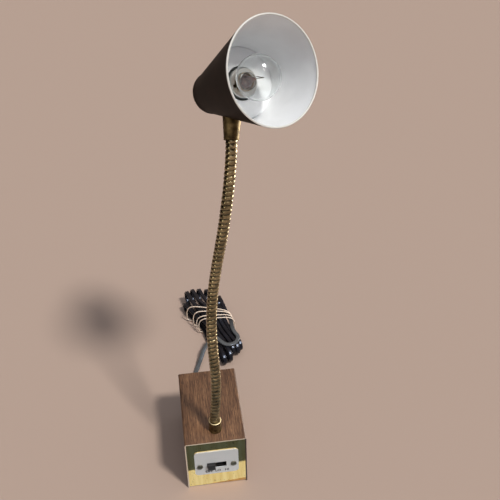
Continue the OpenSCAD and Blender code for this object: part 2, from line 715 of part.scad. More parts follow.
// Head. Its frame stands on the last bend, with z along the ferrule and the mouth toward -y.
module head() at_link(link_count) rotate([0, 0, head_turn]) children();
module on_axis() head() translate([0, 0, axis_h]) rotate([90, 0, 0]) children();

module shell_solid(inset) rotate_extrude($fn = 2 * fine) polygon(concat(
  dome(back_r - inset, dome_len - inset, dome_power),
  [[shell_r(mouth_len + mouth_spare) - inset, mouth_len + mouth_spare], [0, mouth_len + mouth_spare]]));

module shade_ferrule() color("#8a7140") head() difference() {
  translate([0, 0, tip_len])
    cylinder(r1 = collar_low_d / 2, r2 = collar_top_d / 2, $fn = fine,
             h = axis_h - shell_r(0) + collar_bury - tip_len);
  upright(neck_r + touch, collar_seat + touch + 1, tip_len - 1);
  upright(nipple_r + touch, axis_h, tip_len);
  translate([0, 0, axis_h]) rotate([90, 0, 0]) shell_solid(-touch);
}

module head_nipple() color("#a58a4e") head()
  thread_tube(tip_top - tip_counter + 0.2, nipple_top, bore_r + 0.2);

module saddle_washer() color("#8f9294") head() intersection() {
  ring_washer(axis_h - shell_r(0) - 1, shell_r(0) + 1 - (axis_h - foot_plate_z), 6.4, nipple_r + touch);
  translate([0, 0, axis_h]) rotate([90, 0, 0]) shell_solid(shade_wall + 3 * touch);
}

module head_nut() color("#b09350") head() hex_nut(foot_plate_z + bracket_t);

module shade_shell() color("#2e211c") difference() {
  on_axis() difference() {
    shell_solid(0);
    shell_solid(shade_wall);
    translate([0, 0, mouth_len + mouth_spare - 1]) cylinder(r = mouth_r, h = 2, $fn = 2 * fine);
    translate([0, 0, mouth_len]) rotate([mouth_down, mouth_side, 0])
      translate([-2 * mouth_r, -2 * mouth_r, 0]) cube([4 * mouth_r, 4 * mouth_r, 4 * mouth_spare]);
  }
  head() upright(nipple_r + 0.3, shell_r(0), axis_h - shell_r(0) - 3);
}

module inner_disc() color("#e9e7e2") on_axis() {
  wall = shade_wall + touch;
  rotate_extrude($fn = 2 * fine) polygon([
    [disc_hole_r, disc_at], [disc_hole_r, disc_at - disc_t],
    [shell_r(disc_at) - wall - disc_t - 0.4, disc_at - disc_t],
    [shell_r(disc_at - disc_skirt) - wall - disc_t, disc_at - disc_skirt],
    [shell_r(disc_at - disc_skirt) - wall, disc_at - disc_skirt],
    [shell_r(disc_at) - wall, disc_at]]);
}

// Socket
module socket_shell() color("#8b8c8a") on_axis() difference() {
  rotate_extrude($fn = fine) polygon([
    [tube_in_r, socket_back], [tube_out_r, socket_back], [tube_out_r, socket_front - socket_wall],
    [socket_r - socket_wall, socket_front - socket_wall],
    [socket_r - socket_wall, socket_front - skirt_len], [socket_r, socket_front - skirt_len],
    [socket_r, socket_front - 0.5], [socket_r - 0.5, socket_front], [tube_in_r, socket_front]]);
  for (a = [0, 180]) rotate([0, 0, a]) {
    rotate([0, 0, slot_turn]) translate([cap_r - 0.5, -pin_r - slot_gap, pin_at - pin_r - slot_gap])
      cube([pin_reach + 1.5, 2 * (pin_r + slot_gap), socket_front]);
    rotate([0, 0, slot_turn / 2]) translate([cap_r - 0.5, -slot_side / 2, pin_at - pin_r - slot_gap])
      cube([pin_reach + 1.5, slot_side, 2 * (pin_r + slot_gap)]);
  }
}
slot_side = 2 * (cap_r + pin_reach) * sin(slot_turn / 2) + 2 * (pin_r + slot_gap);

module socket_bracket() color("#7e8082") head() difference() {
  union() {
    translate([-bracket_w / 2, -bracket_front, foot_plate_z])
      cube([bracket_w, bracket_front - socket_back + bracket_t, bracket_t]);
    translate([-bracket_w / 2, -socket_back, foot_plate_z])
      cube([bracket_w, bracket_t, axis_h - foot_plate_z + tube_out_r - 1]);
  }
  upright(nipple_r + touch, bracket_t + 2, foot_plate_z - 1);
  translate([0, -socket_back - 1, axis_h]) across_y(2.5, bracket_t + 2);
}

module socket_insulator() color("#5a3422") on_axis() difference() {
  upright(tube_in_r - touch, insulator_t, socket_back);
  upright(1.1, insulator_t + 2, socket_back - 1);
}

module contact_spring() color("#b5b7b8") on_axis() {
  steps = spring_turns * 8;
  low = spring_low + spring_wire / 2 + touch;
  rise = spring_high - spring_low - spring_wire - 2 * touch;
  tube([for (i = [0:steps]) [spring_r * cos(45 * i), spring_r * sin(45 * i), low + rise * i / steps]],
       spring_wire / 2, spring_wire / 2, 6, [0, 0, 1]);
}

module socket_contact() color("#b8954e") on_axis() {
  upright(4.6, plunger_t, spring_high);
  upright(1, spring_high - socket_back + 2 + eps, socket_back - 2);
}

// Bulb
module bulb_glass() color("#dfe6e6", 0.35) on_axis() {
  low = -90 + asin(glass_neck_r / globe_r);
  in_r = globe_r - glass_t;
  in_low = -90 + asin((glass_neck_r - glass_t) / in_r);
  end = cap_back + 4;
  steps = 20;
  rotate_extrude($fn = fine) polygon(concat(
    [[glass_neck_r, end]],
    [for (i = [0:steps]) let (a = low + (90 - low) * i / steps)
      [globe_r * cos(a), globe_at + globe_r * sin(a)]],
    [for (i = [0:steps]) let (a = 90 + (in_low - 90) * i / steps)
      [in_r * cos(a), globe_at + in_r * sin(a)]],
    [[glass_neck_r - glass_t, end]]));
}

module bulb_cap() color("#8c6f46") on_axis() {
  in_r = glass_neck_r + touch;
  rotate_extrude($fn = fine) polygon([
    [3, cap_back], [cap_r - 1, cap_back], [cap_r, cap_back + 1], [cap_r, cap_front],
    [in_r, cap_front], [in_r, cap_back + 1.5], [3, cap_back + 1.5]]);
  for (a = [0, 180]) rotate([0, 0, a]) translate([cap_r - 0.5, 0, pin_at]) rotate([0, 90, 0])
    cylinder(r = pin_r, h = pin_reach + 0.5, $fn = 32);
}

module bulb_contact() color("#2b2a2c") on_axis() {
  rotate_extrude($fn = fine) polygon([
    [0, cap_back - bead_t - button_t + touch], [1.6, cap_back - bead_t - button_t + touch],
    [2.2, cap_back - bead_t], [4.6, cap_back - bead_t], [5.4, cap_back - touch],
    [2.95, cap_back - touch], [2.95, cap_back + 1.5], [0, cap_back + 1.5]]);
}

module bulb_stem() color("#6d5a50", 0.7) on_axis() rotate_extrude($fn = fine) polygon([
  [0, cap_back + 4], [glass_neck_r - glass_t - touch, cap_back + 4],
  [glass_neck_r - glass_t - touch, cap_back + 8], [glass_neck_r - 1.6, cap_front + 1],
  [3.4, cap_front + 4], [1.8, stem_tip - 4], [1, stem_tip], [0, stem_tip]]);

module bulb_filament() color("#6f6f72") on_axis() for (x = [-1, 1]) {
  post = filament_at - stem_tip + 1;
  translate([0, 0, stem_tip - 1 + touch]) rotate([0, x * 22, 0])
    translate([0, 0, 1]) cylinder(r = 0.25, h = post, $fn = 16);
  translate([0, 0, stem_tip + touch]) rotate([0, x * 22, 0])
    translate([0, 0, post]) rotate([0, -x * 22 - x * 90, 0])
      cylinder(r = 0.35, h = post * sin(22), $fn = 16);
}

// Cord
module cord_tube(path) tube(path, cord_w / 2, cord_t / 2, 8);
module cord_lead() color("#46494a") cord_tube(lead_path);
module cord_tail() color("#46494a") cord_tube(tail_path);
module cord_hank() color("#232427")
  tube(hank_path, cord_w / 2, cord_t / 2, 6, hank_side);

// Ties: place along the hank, skew, middle, half width, top of the inside
tie_low = 0.4;
tie_mid = 8;
tie_steps = 24;
tie_rows = [[10.6, -30.9, -4, 28.5, 26.3], [5, -22.4, -1.5, 23.8, 26],
            [-0.1, -16.8, -0.3, 22.3, 24], [-5.2, -16.8, 0.3, 21.8, 23.8]];
function tie_point(row, a, t) =
  let (c = cos(a), s = sin(a), h = s > 0 ? row[4] - tie_mid : tie_mid - tie_low - tie_t)
  [row[2] + (row[3] + t) * sign(c) * pow(abs(c), 0.45),
   tie_mid + (h + t) * sign(s) * pow(abs(s), s > 0 ? 0.6 : 0.4)];
module tie_outline(row, t)
  polygon([for (i = [0:tie_steps - 1]) tie_point(row, 360 * (i + 0.5) / tie_steps, t)]);
module cord_ties() color("#e8d6c2") translate(hank_at) rotate([0, 0, hank_turn])
  for (row = tie_rows) translate([0, row[0], 0]) rotate([0, 0, row[1]])
    facing(-tie_t / 2, tie_t) difference() {
      tie_outline(row, tie_t);
      tie_outline(row, 0);
    }

module plug_body() color("#232325") translate(plug_at) difference() {
  translate([0, -plug_len, plug_h / 2]) rotate([-90, 0, 0]) linear_extrude(plug_len)
    rounded_rect(plug_w, plug_h - 0.6, plug_corner);
  for (x = [-1, 1]) translate([x * blade_gap / 2 - blade_t / 2 - touch, -plug_len - 1,
                               plug_h / 2 - blade_w / 2 - touch])
    cube([blade_t + 2 * touch, blade_seat + 1 + touch, blade_w + 2 * touch]);
}

module plug_blades() color("#b89b5a") translate(plug_at) for (x = [-1, 1])
  translate([x * blade_gap / 2 - blade_t / 2, -plug_len - blade_len, plug_h / 2 - blade_w / 2])
    cube([blade_t, blade_len + blade_seat, blade_w]);

echo(cord_length_mm = cord_length, hank_gap_mm = hank_gap);
echo(bends = [for (i = [0:link_count]) bend_point(i)]);

foot_pad();
bottom_plate();
base_wrap();
front_panel();
rear_panel();
chassis_screws();
switch_plate();
plate_screws();
switch_body();
switch_slider();
switch_terminals();
transformer_core();
transformer_coil();
transformer_strap();
strap_screws();
base_leads();
strain_relief();
base_ferrule();
neck_nipple();
neck_washer();
neck_nut();
neck_foot();
neck_link(1);  // neck_link_01
neck_link(2);  // neck_link_02
neck_link(3);  // neck_link_03
neck_link(4);  // neck_link_04
neck_link(5);  // neck_link_05
neck_link(6);  // neck_link_06
neck_link(7);  // neck_link_07
neck_link(8);  // neck_link_08
neck_link(9);  // neck_link_09
neck_link(10);  // neck_link_10
neck_link(11);  // neck_link_11
neck_link(12);  // neck_link_12
neck_link(13);  // neck_link_13
neck_tip();
neck_leads();
shade_ferrule();
head_nipple();
saddle_washer();
head_nut();
shade_shell();
inner_disc();
socket_shell();
socket_bracket();
socket_insulator();
contact_spring();
socket_contact();
bulb_glass();
bulb_cap();
bulb_contact();
bulb_stem();
bulb_filament();
cord_lead();
cord_hank();
cord_tail();
cord_ties();
plug_body();
plug_blades();
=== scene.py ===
import json
import math

import bmesh
import bpy
from bpy.props import FloatProperty, FloatVectorProperty, PointerProperty, StringProperty
from mathutils import Euler, Matrix, Vector


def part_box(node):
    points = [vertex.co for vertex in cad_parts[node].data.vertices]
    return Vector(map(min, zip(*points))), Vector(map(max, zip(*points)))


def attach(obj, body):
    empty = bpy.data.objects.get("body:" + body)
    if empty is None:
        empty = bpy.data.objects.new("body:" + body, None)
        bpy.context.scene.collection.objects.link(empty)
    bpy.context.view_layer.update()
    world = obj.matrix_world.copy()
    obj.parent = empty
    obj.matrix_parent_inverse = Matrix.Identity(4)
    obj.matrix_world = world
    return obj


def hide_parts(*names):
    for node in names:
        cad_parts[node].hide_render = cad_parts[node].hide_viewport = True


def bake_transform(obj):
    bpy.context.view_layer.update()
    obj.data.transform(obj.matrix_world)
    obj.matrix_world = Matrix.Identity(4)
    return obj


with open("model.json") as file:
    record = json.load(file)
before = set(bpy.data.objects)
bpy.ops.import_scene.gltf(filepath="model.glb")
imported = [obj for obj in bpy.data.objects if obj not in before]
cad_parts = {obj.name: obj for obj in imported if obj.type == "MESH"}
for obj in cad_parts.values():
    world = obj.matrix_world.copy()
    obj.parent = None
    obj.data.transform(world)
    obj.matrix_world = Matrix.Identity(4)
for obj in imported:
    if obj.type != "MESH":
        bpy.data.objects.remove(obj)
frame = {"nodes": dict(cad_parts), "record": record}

bl_info = {
    "name": "Gooseneck desk lamp",
    "version": (1, 0, 0),
    "blender": (4, 5, 0),
    "location": "3D View > Sidebar > Desk Lamp",
    "description": "Dresses the packed model of a gooseneck desk lamp and sets its stage",
    "category": "Object",
}

MM = 0.001
RIGHT, UP = Vector((1, 0, 0)), Vector((0, 0, 1))
QUARTER = math.radians(90)
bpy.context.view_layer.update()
JOINTS = frame["record"]["behaviour"]["joints"]
BENDS = [Vector(joint["pos_m"]) for joint in JOINTS if joint["name"].startswith("bend_")]
BODIES = ["base"] + [f"link_{k:02d}" for k in range(1, len(BENDS))] + ["head"]


# Helpers shared by the pieces


def linear(code):
    """A colour written as sRGB hex, in the linear values that shaders take."""
    parts = [int(code[k : k + 2], 16) / 255 for k in (0, 2, 4)]
    return tuple(v / 12.92 if v <= 0.04045 else ((v + 0.055) / 1.055) ** 2.4 for v in parts) + (1.0,)


def lit(color, factor):
    """A colour property made lighter or darker."""
    return (*(min(1.0, value * factor) for value in color), 1.0)


def wire(node, inputs):
    """Sets a node's inputs by name or number, and links those whose value is a socket or another node."""
    for key, value in inputs.items():
        if isinstance(value, bpy.types.Node):
            value = next(socket for socket in value.outputs if socket.enabled)
        if isinstance(value, bpy.types.NodeSocket):
            node.id_data.links.new(value, node.inputs[key])
        else:
            node.inputs[key].default_value = value


def add(tree, kind, inputs=None, stops=(), **settings):
    """Adds a node, sets its properties and its colour stops (place, hex or linear colour), and wires it."""
    node = tree.nodes.new(kind)
    for name, value in settings.items():
        setattr(node, name, value)
    if stops:
        elements = node.color_ramp.elements
        while len(elements) < len(stops):
            elements.new(0.5)
        for element, (place, color) in zip(elements, stops):
            element.position = place
            element.color = linear(color) if isinstance(color, str) else color
    wire(node, inputs or {})
    return node


def new_material(name, kind="ShaderNodeBsdfPrincipled", **values):
    """A material with one shader, its inputs set by their names."""
    material = bpy.data.materials.new(name)
    material.use_nodes = True
    tree = material.node_tree
    tree.nodes.clear()
    shader = add(tree, kind, {key.replace("_", " "): value for key, value in values.items()})
    add(tree, "ShaderNodeOutputMaterial", {"Surface": shader})
    return material, tree, shader


def object_place(tree, scale=(1, 1, 1)):
    """Object coordinates in millimetres, stretched by a scale."""
    here = add(tree, "ShaderNodeTexCoord").outputs["Object"]
    sized = add(tree, "ShaderNodeVectorMath", {0: here, 1: (1000, 1000, 1000)}, operation="MULTIPLY")
    return add(tree, "ShaderNodeMapping", {"Vector": sized, "Scale": scale})


def rough_and_bump(tree, shader, height, low, high, depth):
    """Drives roughness between two values and a bump of a real depth from one pattern."""
    spread = add(tree, "ShaderNodeMapRange", {"Value": height, "To Min": low, "To Max": high})
    relief = add(tree, "ShaderNodeBump", {"Height": height, "Distance": depth, "Strength": 1.0})
    wire(shader, {"Roughness": spread, "Normal": relief})


def plain_metal(name, code, roughness, grain):
    """Drawn or stamped sheet metal with fine mill marks; grain is marks per millimetre."""
    material, tree, shader = new_material(name, Metallic=1.0, Roughness=roughness, Base_Color=linear(code))
    marks = add(tree, "ShaderNodeTexNoise", {"Vector": object_place(tree), "Scale": grain, "Detail": 4.0})
    rough_and_bump(tree, shader, marks, roughness - 0.1, roughness + 0.12, 0.03 * MM)
    return material


def moulding(name, code, roughness, grain):
    """Moulded plastic or rubber, or thick paint, with a slight mottle; grain is spots per millimetre."""
    material, tree, shader = new_material(name, Roughness=roughness, IOR=1.5, Base_Color=linear(code))
    marks = add(tree, "ShaderNodeTexNoise", {"Vector": object_place(tree), "Scale": grain, "Detail": 3.0})
    rough_and_bump(tree, shader, marks, roughness - 0.08, roughness + 0.1, 0.05 * MM)
    return material


def paint_nodes(material, *nodes):
    """Gives CAD nodes a material in every slot."""
    for name in nodes:
        for slot in frame["nodes"][name].material_slots:
            slot.material = material


def finish_piece(name, bm, materials, body=None, stands_for=(), sharp=35):
    """Turns a bmesh into a piece with its materials, smooth faces, body and stand-in nodes."""
    mesh = bpy.data.meshes.new(name)
    bm.to_mesh(mesh)
    bm.free()
    for material in materials:
        mesh.materials.append(material)
    mesh.shade_smooth()
    mesh.set_sharp_from_angle(angle=math.radians(sharp))
    piece = bpy.data.objects.new(name, mesh)
    bpy.context.scene.collection.objects.link(piece)
    if body:
        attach(piece, body)
    if stands_for:
        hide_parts(*stands_for)
    return piece


def rolled_grid(bm, rings, crests=None):
    """A flat grid rolled onto rings of points, with its UV map: across the ring, then along."""
    across, along = len(rings[0]), len(rings) - 1
    bm.loops.layers.uv.verify()
    layer = bm.verts.layers.float.new("crest") if crests else None
    made = bmesh.ops.create_grid(bm, x_segments=across, y_segments=along, size=0.5, calc_uvs=True)
    for vert in made["verts"]:
        i = round((vert.co.x + 0.5) * across)
        j = round((vert.co.y + 0.5) * along)
        vert.co = rings[j][i % across]
        if crests:
            vert[layer] = crests[j][i % across]
    bmesh.ops.remove_doubles(bm, verts=made["verts"], dist=1e-6)


def close_ends(bm):
    """Fills the open ends and points every face outwards."""
    bmesh.ops.holes_fill(bm, edges=[edge for edge in bm.edges if edge.is_boundary], sides=0)
    bmesh.ops.recalc_face_normals(bm, faces=bm.faces)


def tube(rings):
    """A closed solid through rings of points."""
    bm = bmesh.new()
    rolled_grid(bm, rings)
    close_ends(bm)
    return bm


def in_order(bm):
    """Sorts a mesh by place, because spin and solidify leave its parts in another order each run."""

    def place(item):
        corners = getattr(item, "verts", [item])
        middle = sum((vert.co for vert in corners), Vector()) / len(corners)
        return tuple(round(value, 8) for value in middle)

    for items in (bm.verts, bm.edges, bm.faces):
        items.index_update()
        rank = {item.index: k for k, item in enumerate(sorted(items, key=place))}
        items.sort(key=lambda item: rank[item.index])


def spun(profile, steps, matrix=None, closed=True):
    """Spins (radius, height) points about Z and places the result."""
    bm = bmesh.new()
    verts = [bm.verts.new((radius, 0, height)) for radius, height in profile]
    pairs = zip(verts, verts[1:] + (verts[:1] if closed else []))
    edges = [bm.edges.new(pair) for pair in pairs]
    bmesh.ops.spin(
        bm, geom=verts + edges, cent=(0, 0, 0), axis=UP, angle=2 * math.pi, steps=steps, use_merge=True
    )
    bmesh.ops.remove_doubles(bm, verts=bm.verts, dist=1e-6)
    if matrix:
        bmesh.ops.transform(bm, matrix=matrix, verts=bm.verts)
    bmesh.ops.recalc_face_normals(bm, faces=bm.faces)
    in_order(bm)
    return bm


def angles(count):
    """Angles of evenly spaced points round a circle."""
    return [math.radians(360 * k / count) for k in range(count)]


def squarish(angle, power_x, power_y):
    """A point of a circle pushed out toward its square by powers below 1."""
    c, s = math.cos(angle), math.sin(angle)
    return math.copysign(abs(c) ** power_x, c), math.copysign(abs(s) ** power_y, s)


def smooth_line(points, step):
    """Points every step along a smooth curve through the given ones, ends kept."""
    dense = [points[0]]
    for k in range(len(points) - 1):
        p1, p2 = points[k], points[k + 1]
        p0 = points[k - 1] if k else p1 + (p1 - p2)
        p3 = points[k + 2] if k + 2 < len(points) else p2 + (p2 - p1)
        chord = (p2 - p1).length
        if chord < 1e-9:
            continue
        m1 = (p2 - p0) * chord / max(chord + (p1 - p0).length, 1e-9)
        m2 = (p3 - p1) * chord / max((p3 - p2).length + chord, 1e-9)
        for i in range(1, 9):
            u = i / 8
            a, b = 2 * u**3 - 3 * u**2 + 1, u**3 - 2 * u**2 + u
            dense.append(a * p1 + b * m1 + (1 - a) * p2 + (u**3 - u**2) * m2)
    places = [0.0]
    for a, b in zip(dense, dense[1:]):
        places.append(places[-1] + (b - a).length)
    count = max(2, round(places[-1] / step))
    line, k = [], 0
    for i in range(count + 1):
        goal = places[-1] * i / count
        while k < len(dense) - 2 and places[k + 1] < goal:
            k += 1
        part = (goal - places[k]) / max(places[k + 1] - places[k], 1e-12)
        line.append(dense[k].lerp(dense[k + 1], min(1.0, part)))
    return line


def heading(line, i):
    """The direction of a line at one of its points."""
    return (line[min(i + 1, len(line) - 1)] - line[max(i - 1, 0)]).normalized()


def square_to(line, i):
    """Two directions square to a rising line at one of its points, the first one toward the right."""
    ahead = heading(line, i)
    side = (RIGHT - ahead * ahead.x).normalized()
    return side, ahead.cross(side)


# Stage


class LampStageSettings(bpy.types.PropertyGroup):
    lens: FloatProperty(
        name="Lens", description="Focal length on a 36 mm wide sensor", default=54.216, unit="CAMERA"
    )
    place: FloatVectorProperty(
        name="Camera", description="Place of the camera", default=(-0.02506, -0.50351, 0.65994), unit="LENGTH"
    )
    turn: FloatVectorProperty(
        name="Turn", description="Turn of the camera", subtype="EULER",
        default=tuple(math.radians(v) for v in (51.9102, 0.5513, -8.0069)),
    )
    backdrop: FloatVectorProperty(
        name="Backdrop", description="Colour of the floor", subtype="COLOR", default=linear("B59F92")[:3]
    )
    key_strength: FloatProperty(name="Key", description="Strength of the key lamp", default=2.42)
    front_strength: FloatProperty(
        name="Front", description="Strength of the broad light from the front", default=0.68
    )
    fill: FloatProperty(name="Fill", description="Strength of the even light from all round", default=0.2)


class LAMP_OT_stage(bpy.types.Operator):
    """Camera, floor, lamps and the cards that the metal mirrors"""

    bl_idname = "lamp.stage"
    bl_label = "Stage and camera"

    def execute(self, context):
        scene, look = context.scene, context.scene.lamp_stage
        scene.view_settings.view_transform = "Standard"
        data = bpy.data.cameras.new("photo_camera")
        data.lens, data.sensor_width, data.clip_end = look.lens, 36, 20
        camera = bpy.data.objects.new("photo_camera", data)
        camera.matrix_world = Matrix.Translation(look.place) @ Euler(look.turn, "XYZ").to_matrix().to_4x4()
        scene.collection.objects.link(camera)
        scene.camera = camera
        self.floor(look)
        self.cards()
        self.world(scene, look)
        # The neck's shadow falls to the back left and the shade's upper inside stays grey, so the key is
        # high in front
        self.sun("key_lamp", (0.35, -0.42, 0.84), look.key_strength, 8, "FFFCF6")
        self.sun("broad_front", (0.10, -0.30, 0.95), look.front_strength, 80, "F4F7FF")
        # Three lamps that only gloss shows: one for each side of the neck, one for the spot on the globe
        self.panel("right_strip", (0.70, 0.34, 0.14), (0, 0, 0.14), (0.26, 0.28), 5.5, "FFF6EA")
        self.panel("left_strip", (-0.80, -0.65, 0.60), (0, 0, 0.28), (0.22, 0.26), 1.6, "FFF2DC")
        self.panel("globe_spot", (0.40, -0.03, 1.20), (0.03, 0, 0.43), (0.2, 0.2), 7.0, "FFFFFF")
        return {"FINISHED"}

    def floor(self, look):
        # Matt backdrop paper: no gloss at all
        color = (*look.backdrop, 1)
        paper = new_material(
            "matt backdrop paper", Roughness=1.0, Base_Color=color, Specular_IOR_Level=0.0
        )[0]
        bm = bmesh.new()
        bmesh.ops.create_grid(bm, x_segments=8, y_segments=8, size=4.0)
        bmesh.ops.translate(bm, vec=(0, 0, -0.2 * MM), verts=bm.verts)
        finish_piece("backdrop_floor", bm, [paper])

    def cards(self):
        # Cards that only gloss shows. The front panel mirrors a bright sheet close by and a dark room beyond
        # it, and the neck's left edge and the shade mirror a dark wall
        lift = 0.4 * MM
        turned = Matrix.Rotation(math.radians(-4), 4, "Z")
        near, far = (Matrix.Translation((0, y, lift)) @ turned for y in (-0.0562, -0.1662))
        wall = Matrix.Translation((-1.1, 0.1, 0.9)) @ Matrix.Rotation(QUARTER, 4, "Y")
        self.card("white_card", near, (0.30, 0.02), "F4F4EE", 0.9)
        self.card("dark_card", far, (0.60, 0.20), "56626B", 0.85)
        self.card("dark_wall", wall, (2.2, 3.0), "1A1512", 1.0)

    def card(self, name, place, size, code, strength):
        glow = new_material(name, "ShaderNodeEmission", Color=linear(code), Strength=strength)[0]
        bm = bmesh.new()
        bmesh.ops.create_grid(bm, x_segments=1, y_segments=1, size=0.5)
        bmesh.ops.scale(bm, vec=(*size, 1), verts=bm.verts)
        bmesh.ops.transform(bm, matrix=place, verts=bm.verts)
        sheet = finish_piece(name, bm, [glow])
        sheet.visible_camera = False
        sheet.visible_diffuse = False
        sheet.visible_shadow = False
        sheet.visible_transmission = False

    def world(self, scene, look):
        """Even light for matt surfaces, and the backdrop's colour for the camera, gloss and glass."""
        world = bpy.data.worlds.new("studio")
        world.use_nodes = True
        tree = world.node_tree
        tree.nodes.clear()
        rays = add(tree, "ShaderNodeLightPath").outputs
        mirrored = add(
            tree, "ShaderNodeMath", {0: rays["Is Glossy Ray"], 1: rays["Is Transmission Ray"]},
            operation="MAXIMUM",
        )
        seen = add(tree, "ShaderNodeMath", {0: rays["Is Camera Ray"], 1: mirrored}, operation="MAXIMUM")
        light = add(tree, "ShaderNodeBackground", {"Color": linear("F6F8FF"), "Strength": look.fill})
        shown = add(tree, "ShaderNodeBackground", {"Color": (*look.backdrop, 1), "Strength": 1.0})
        both = add(tree, "ShaderNodeMixShader", {0: seen, 1: light, 2: shown})
        add(tree, "ShaderNodeOutputWorld", {"Surface": both})
        scene.world = world

    def sun(self, name, toward, strength, spread, code):
        data = bpy.data.lights.new(name, "SUN")
        data.energy, data.angle, data.color = strength, math.radians(spread), linear(code)[:3]
        lamp = bpy.data.objects.new(name, data)
        lamp.rotation_euler = Vector(toward).to_track_quat("Z", "Y").to_euler()
        bpy.context.scene.collection.objects.link(lamp)

    def panel(self, name, place, target, size, strength, code):
        data = bpy.data.lights.new(name, "AREA")
        data.shape, data.size, data.size_y = "RECTANGLE", size[0], size[1]
        data.energy, data.color = strength, linear(code)[:3]
        lamp = bpy.data.objects.new(name, data)
        aim = Vector(place) - Vector(target)
        lamp.matrix_world = Matrix.Translation(place) @ aim.to_track_quat("Z", "Y").to_matrix().to_4x4()
        lamp.visible_diffuse = False
        lamp.visible_transmission = False
        bpy.context.scene.collection.objects.link(lamp)


# Cord


class LampCordSettings(bpy.types.PropertyGroup):
    width: FloatProperty(
        name="Width", description="Width of the flat twin cord", default=5 * MM, unit="LENGTH"
    )
    thickness: FloatProperty(
        name="Thickness", description="Thickness of the cord", default=2.6 * MM, unit="LENGTH"
    )
    step: FloatProperty(
        name="Step", description="Distance between rings of the cord", default=2 * MM, unit="LENGTH"
    )
    length: FloatProperty(
        name="Length", description="Whole length of the cord", default=1.612, unit="LENGTH"
    )
    tie_size: FloatProperty(
        name="Tie", description="Thickness of an elastic tie", default=1.2 * MM, unit="LENGTH"
    )
    dark: FloatVectorProperty(
        name="Dark", description="Colour of the bundled cord", subtype="COLOR", default=linear("111217")[:3]
    )
    dusty: FloatVectorProperty(
        name="Dusty", description="Colour of the loose cord", subtype="COLOR", default=linear("525455")[:3]
    )


# The cord's route, in millimetres, is the one of the CAD source. The lists give one value for each lane,
# from right to left. "near" is the hank's end at the base, "far" its other end, and "waist" the middle,
# where the ties hold it
HANK_AT = Vector((21, 178, 0))
HANK_TURN = math.radians(13)
# Turns at the hank's first and last point, points to a turn, and the share of a turn that a run and a
# fold take
HANK_FIRST, HANK_LAST, LOOP_RINGS = 0.15, 5.71, 24
RUN, FOLD = 0.3, 0.2
# Height of the lower runs, height of the middle loops above them, and step from lane to lane at the waist
HANK_LOW, HANK_HIGH, HANK_STEP = 1.9, 22, 5.6
# The lower runs' rise at the waist, the waist's place along the hank and its half length
WAIST_LOW, WAIST_Y, HANK_WAIST = 1.6, 8, 38
NEAR_X = [18, 16.2, 10.5, 4.8, -1.9, -9.9, -16.6]
WAIST_X = [16.6 - lane * HANK_STEP for lane in range(7)]
FAR_X = [18.4, 6.6, -2.5, -10.6, -17.9, -24.8, -25]
NEAR_REACH = [43, 43, 47, 47, 55.5, 58, 58]
FAR_REACH = [36, 49.5, 52, 54, 55.5, 44, 44]
NEAR_HIGH = [15.5, 12.5, 14.5, 14.5, 14.5, 13, 13]
WAIST_HIGH = [part * HANK_HIGH for part in (0.66, 0.84, 0.98, 1, 0.87, 0.5, 0.5)]
FAR_HIGH = [14, 18, 19.5, 19.5, 17.5, 10, 10]
LEAD_ROUTE = [
    (-15, 67.25, 14), (-15, 73.25, 14), (-14.8, 83, 10.5), (-13.8, 92, 6), (-11.7, 101, 3.4),
    (-8.6, 109.5, 3), (-4.7, 118.5, 4.8), (-0.8, 127, 7.6), (3, 134.5, 11), (8.2, 140.2, 14.8),
    (13, 144.2, 18.8), (17.8, 143.6, 20.2), (22, 139, 19.8), (26.6, 133, 19.4), (32.6, 130.2, 19.2),
    (39.4, 131.6, 19.2), (44, 137, 19.4), (44.6, 143.6, 19.4), (42, 150, 19), (40, 160, 18.6),
]
TAIL_ROUTE = [
    (13.4, 136, 1.9), (12.5, 126, 1.9), (11.8, 116, 2.1), (11.5, 108, 3.6), (11.5, 101, 6.5),
    (11.5, 96, 6.5),
]
# Each tie's place along the hank, skew in degrees, and the middle, half width and top of its inside
TIES = [
    (10.6, -30.9, -4, 28.5, 26.3), (5, -22.4, -1.5, 23.8, 26),
    (-0.1, -16.8, -0.3, 22.3, 24), (-5.2, -16.8, 0.3, 21.8, 23.8),
]
# Height of a tie's underside, height at which it is widest, and points round it
TIE_LOW, TIE_MIDDLE, TIE_STEPS = 0.4, 8.0, 96


def eased(value):
    """A smooth step from 0 to 1."""
    part = max(0.0, min(1.0, value))
    return part * part * (3 - 2 * part)


def between(table, lane):
    """A table's value at a place between two lanes."""
    k = min(len(table) - 2, math.floor(lane))
    return table[k] + (lane - k) * (table[k + 1] - table[k])


def passing(first, second, lane, part):
    """From one table's value to another's, smoothly, as part goes from 0 to 1."""
    v = eased(part)
    return between(first, lane) * (1 - v) + between(second, lane) * v


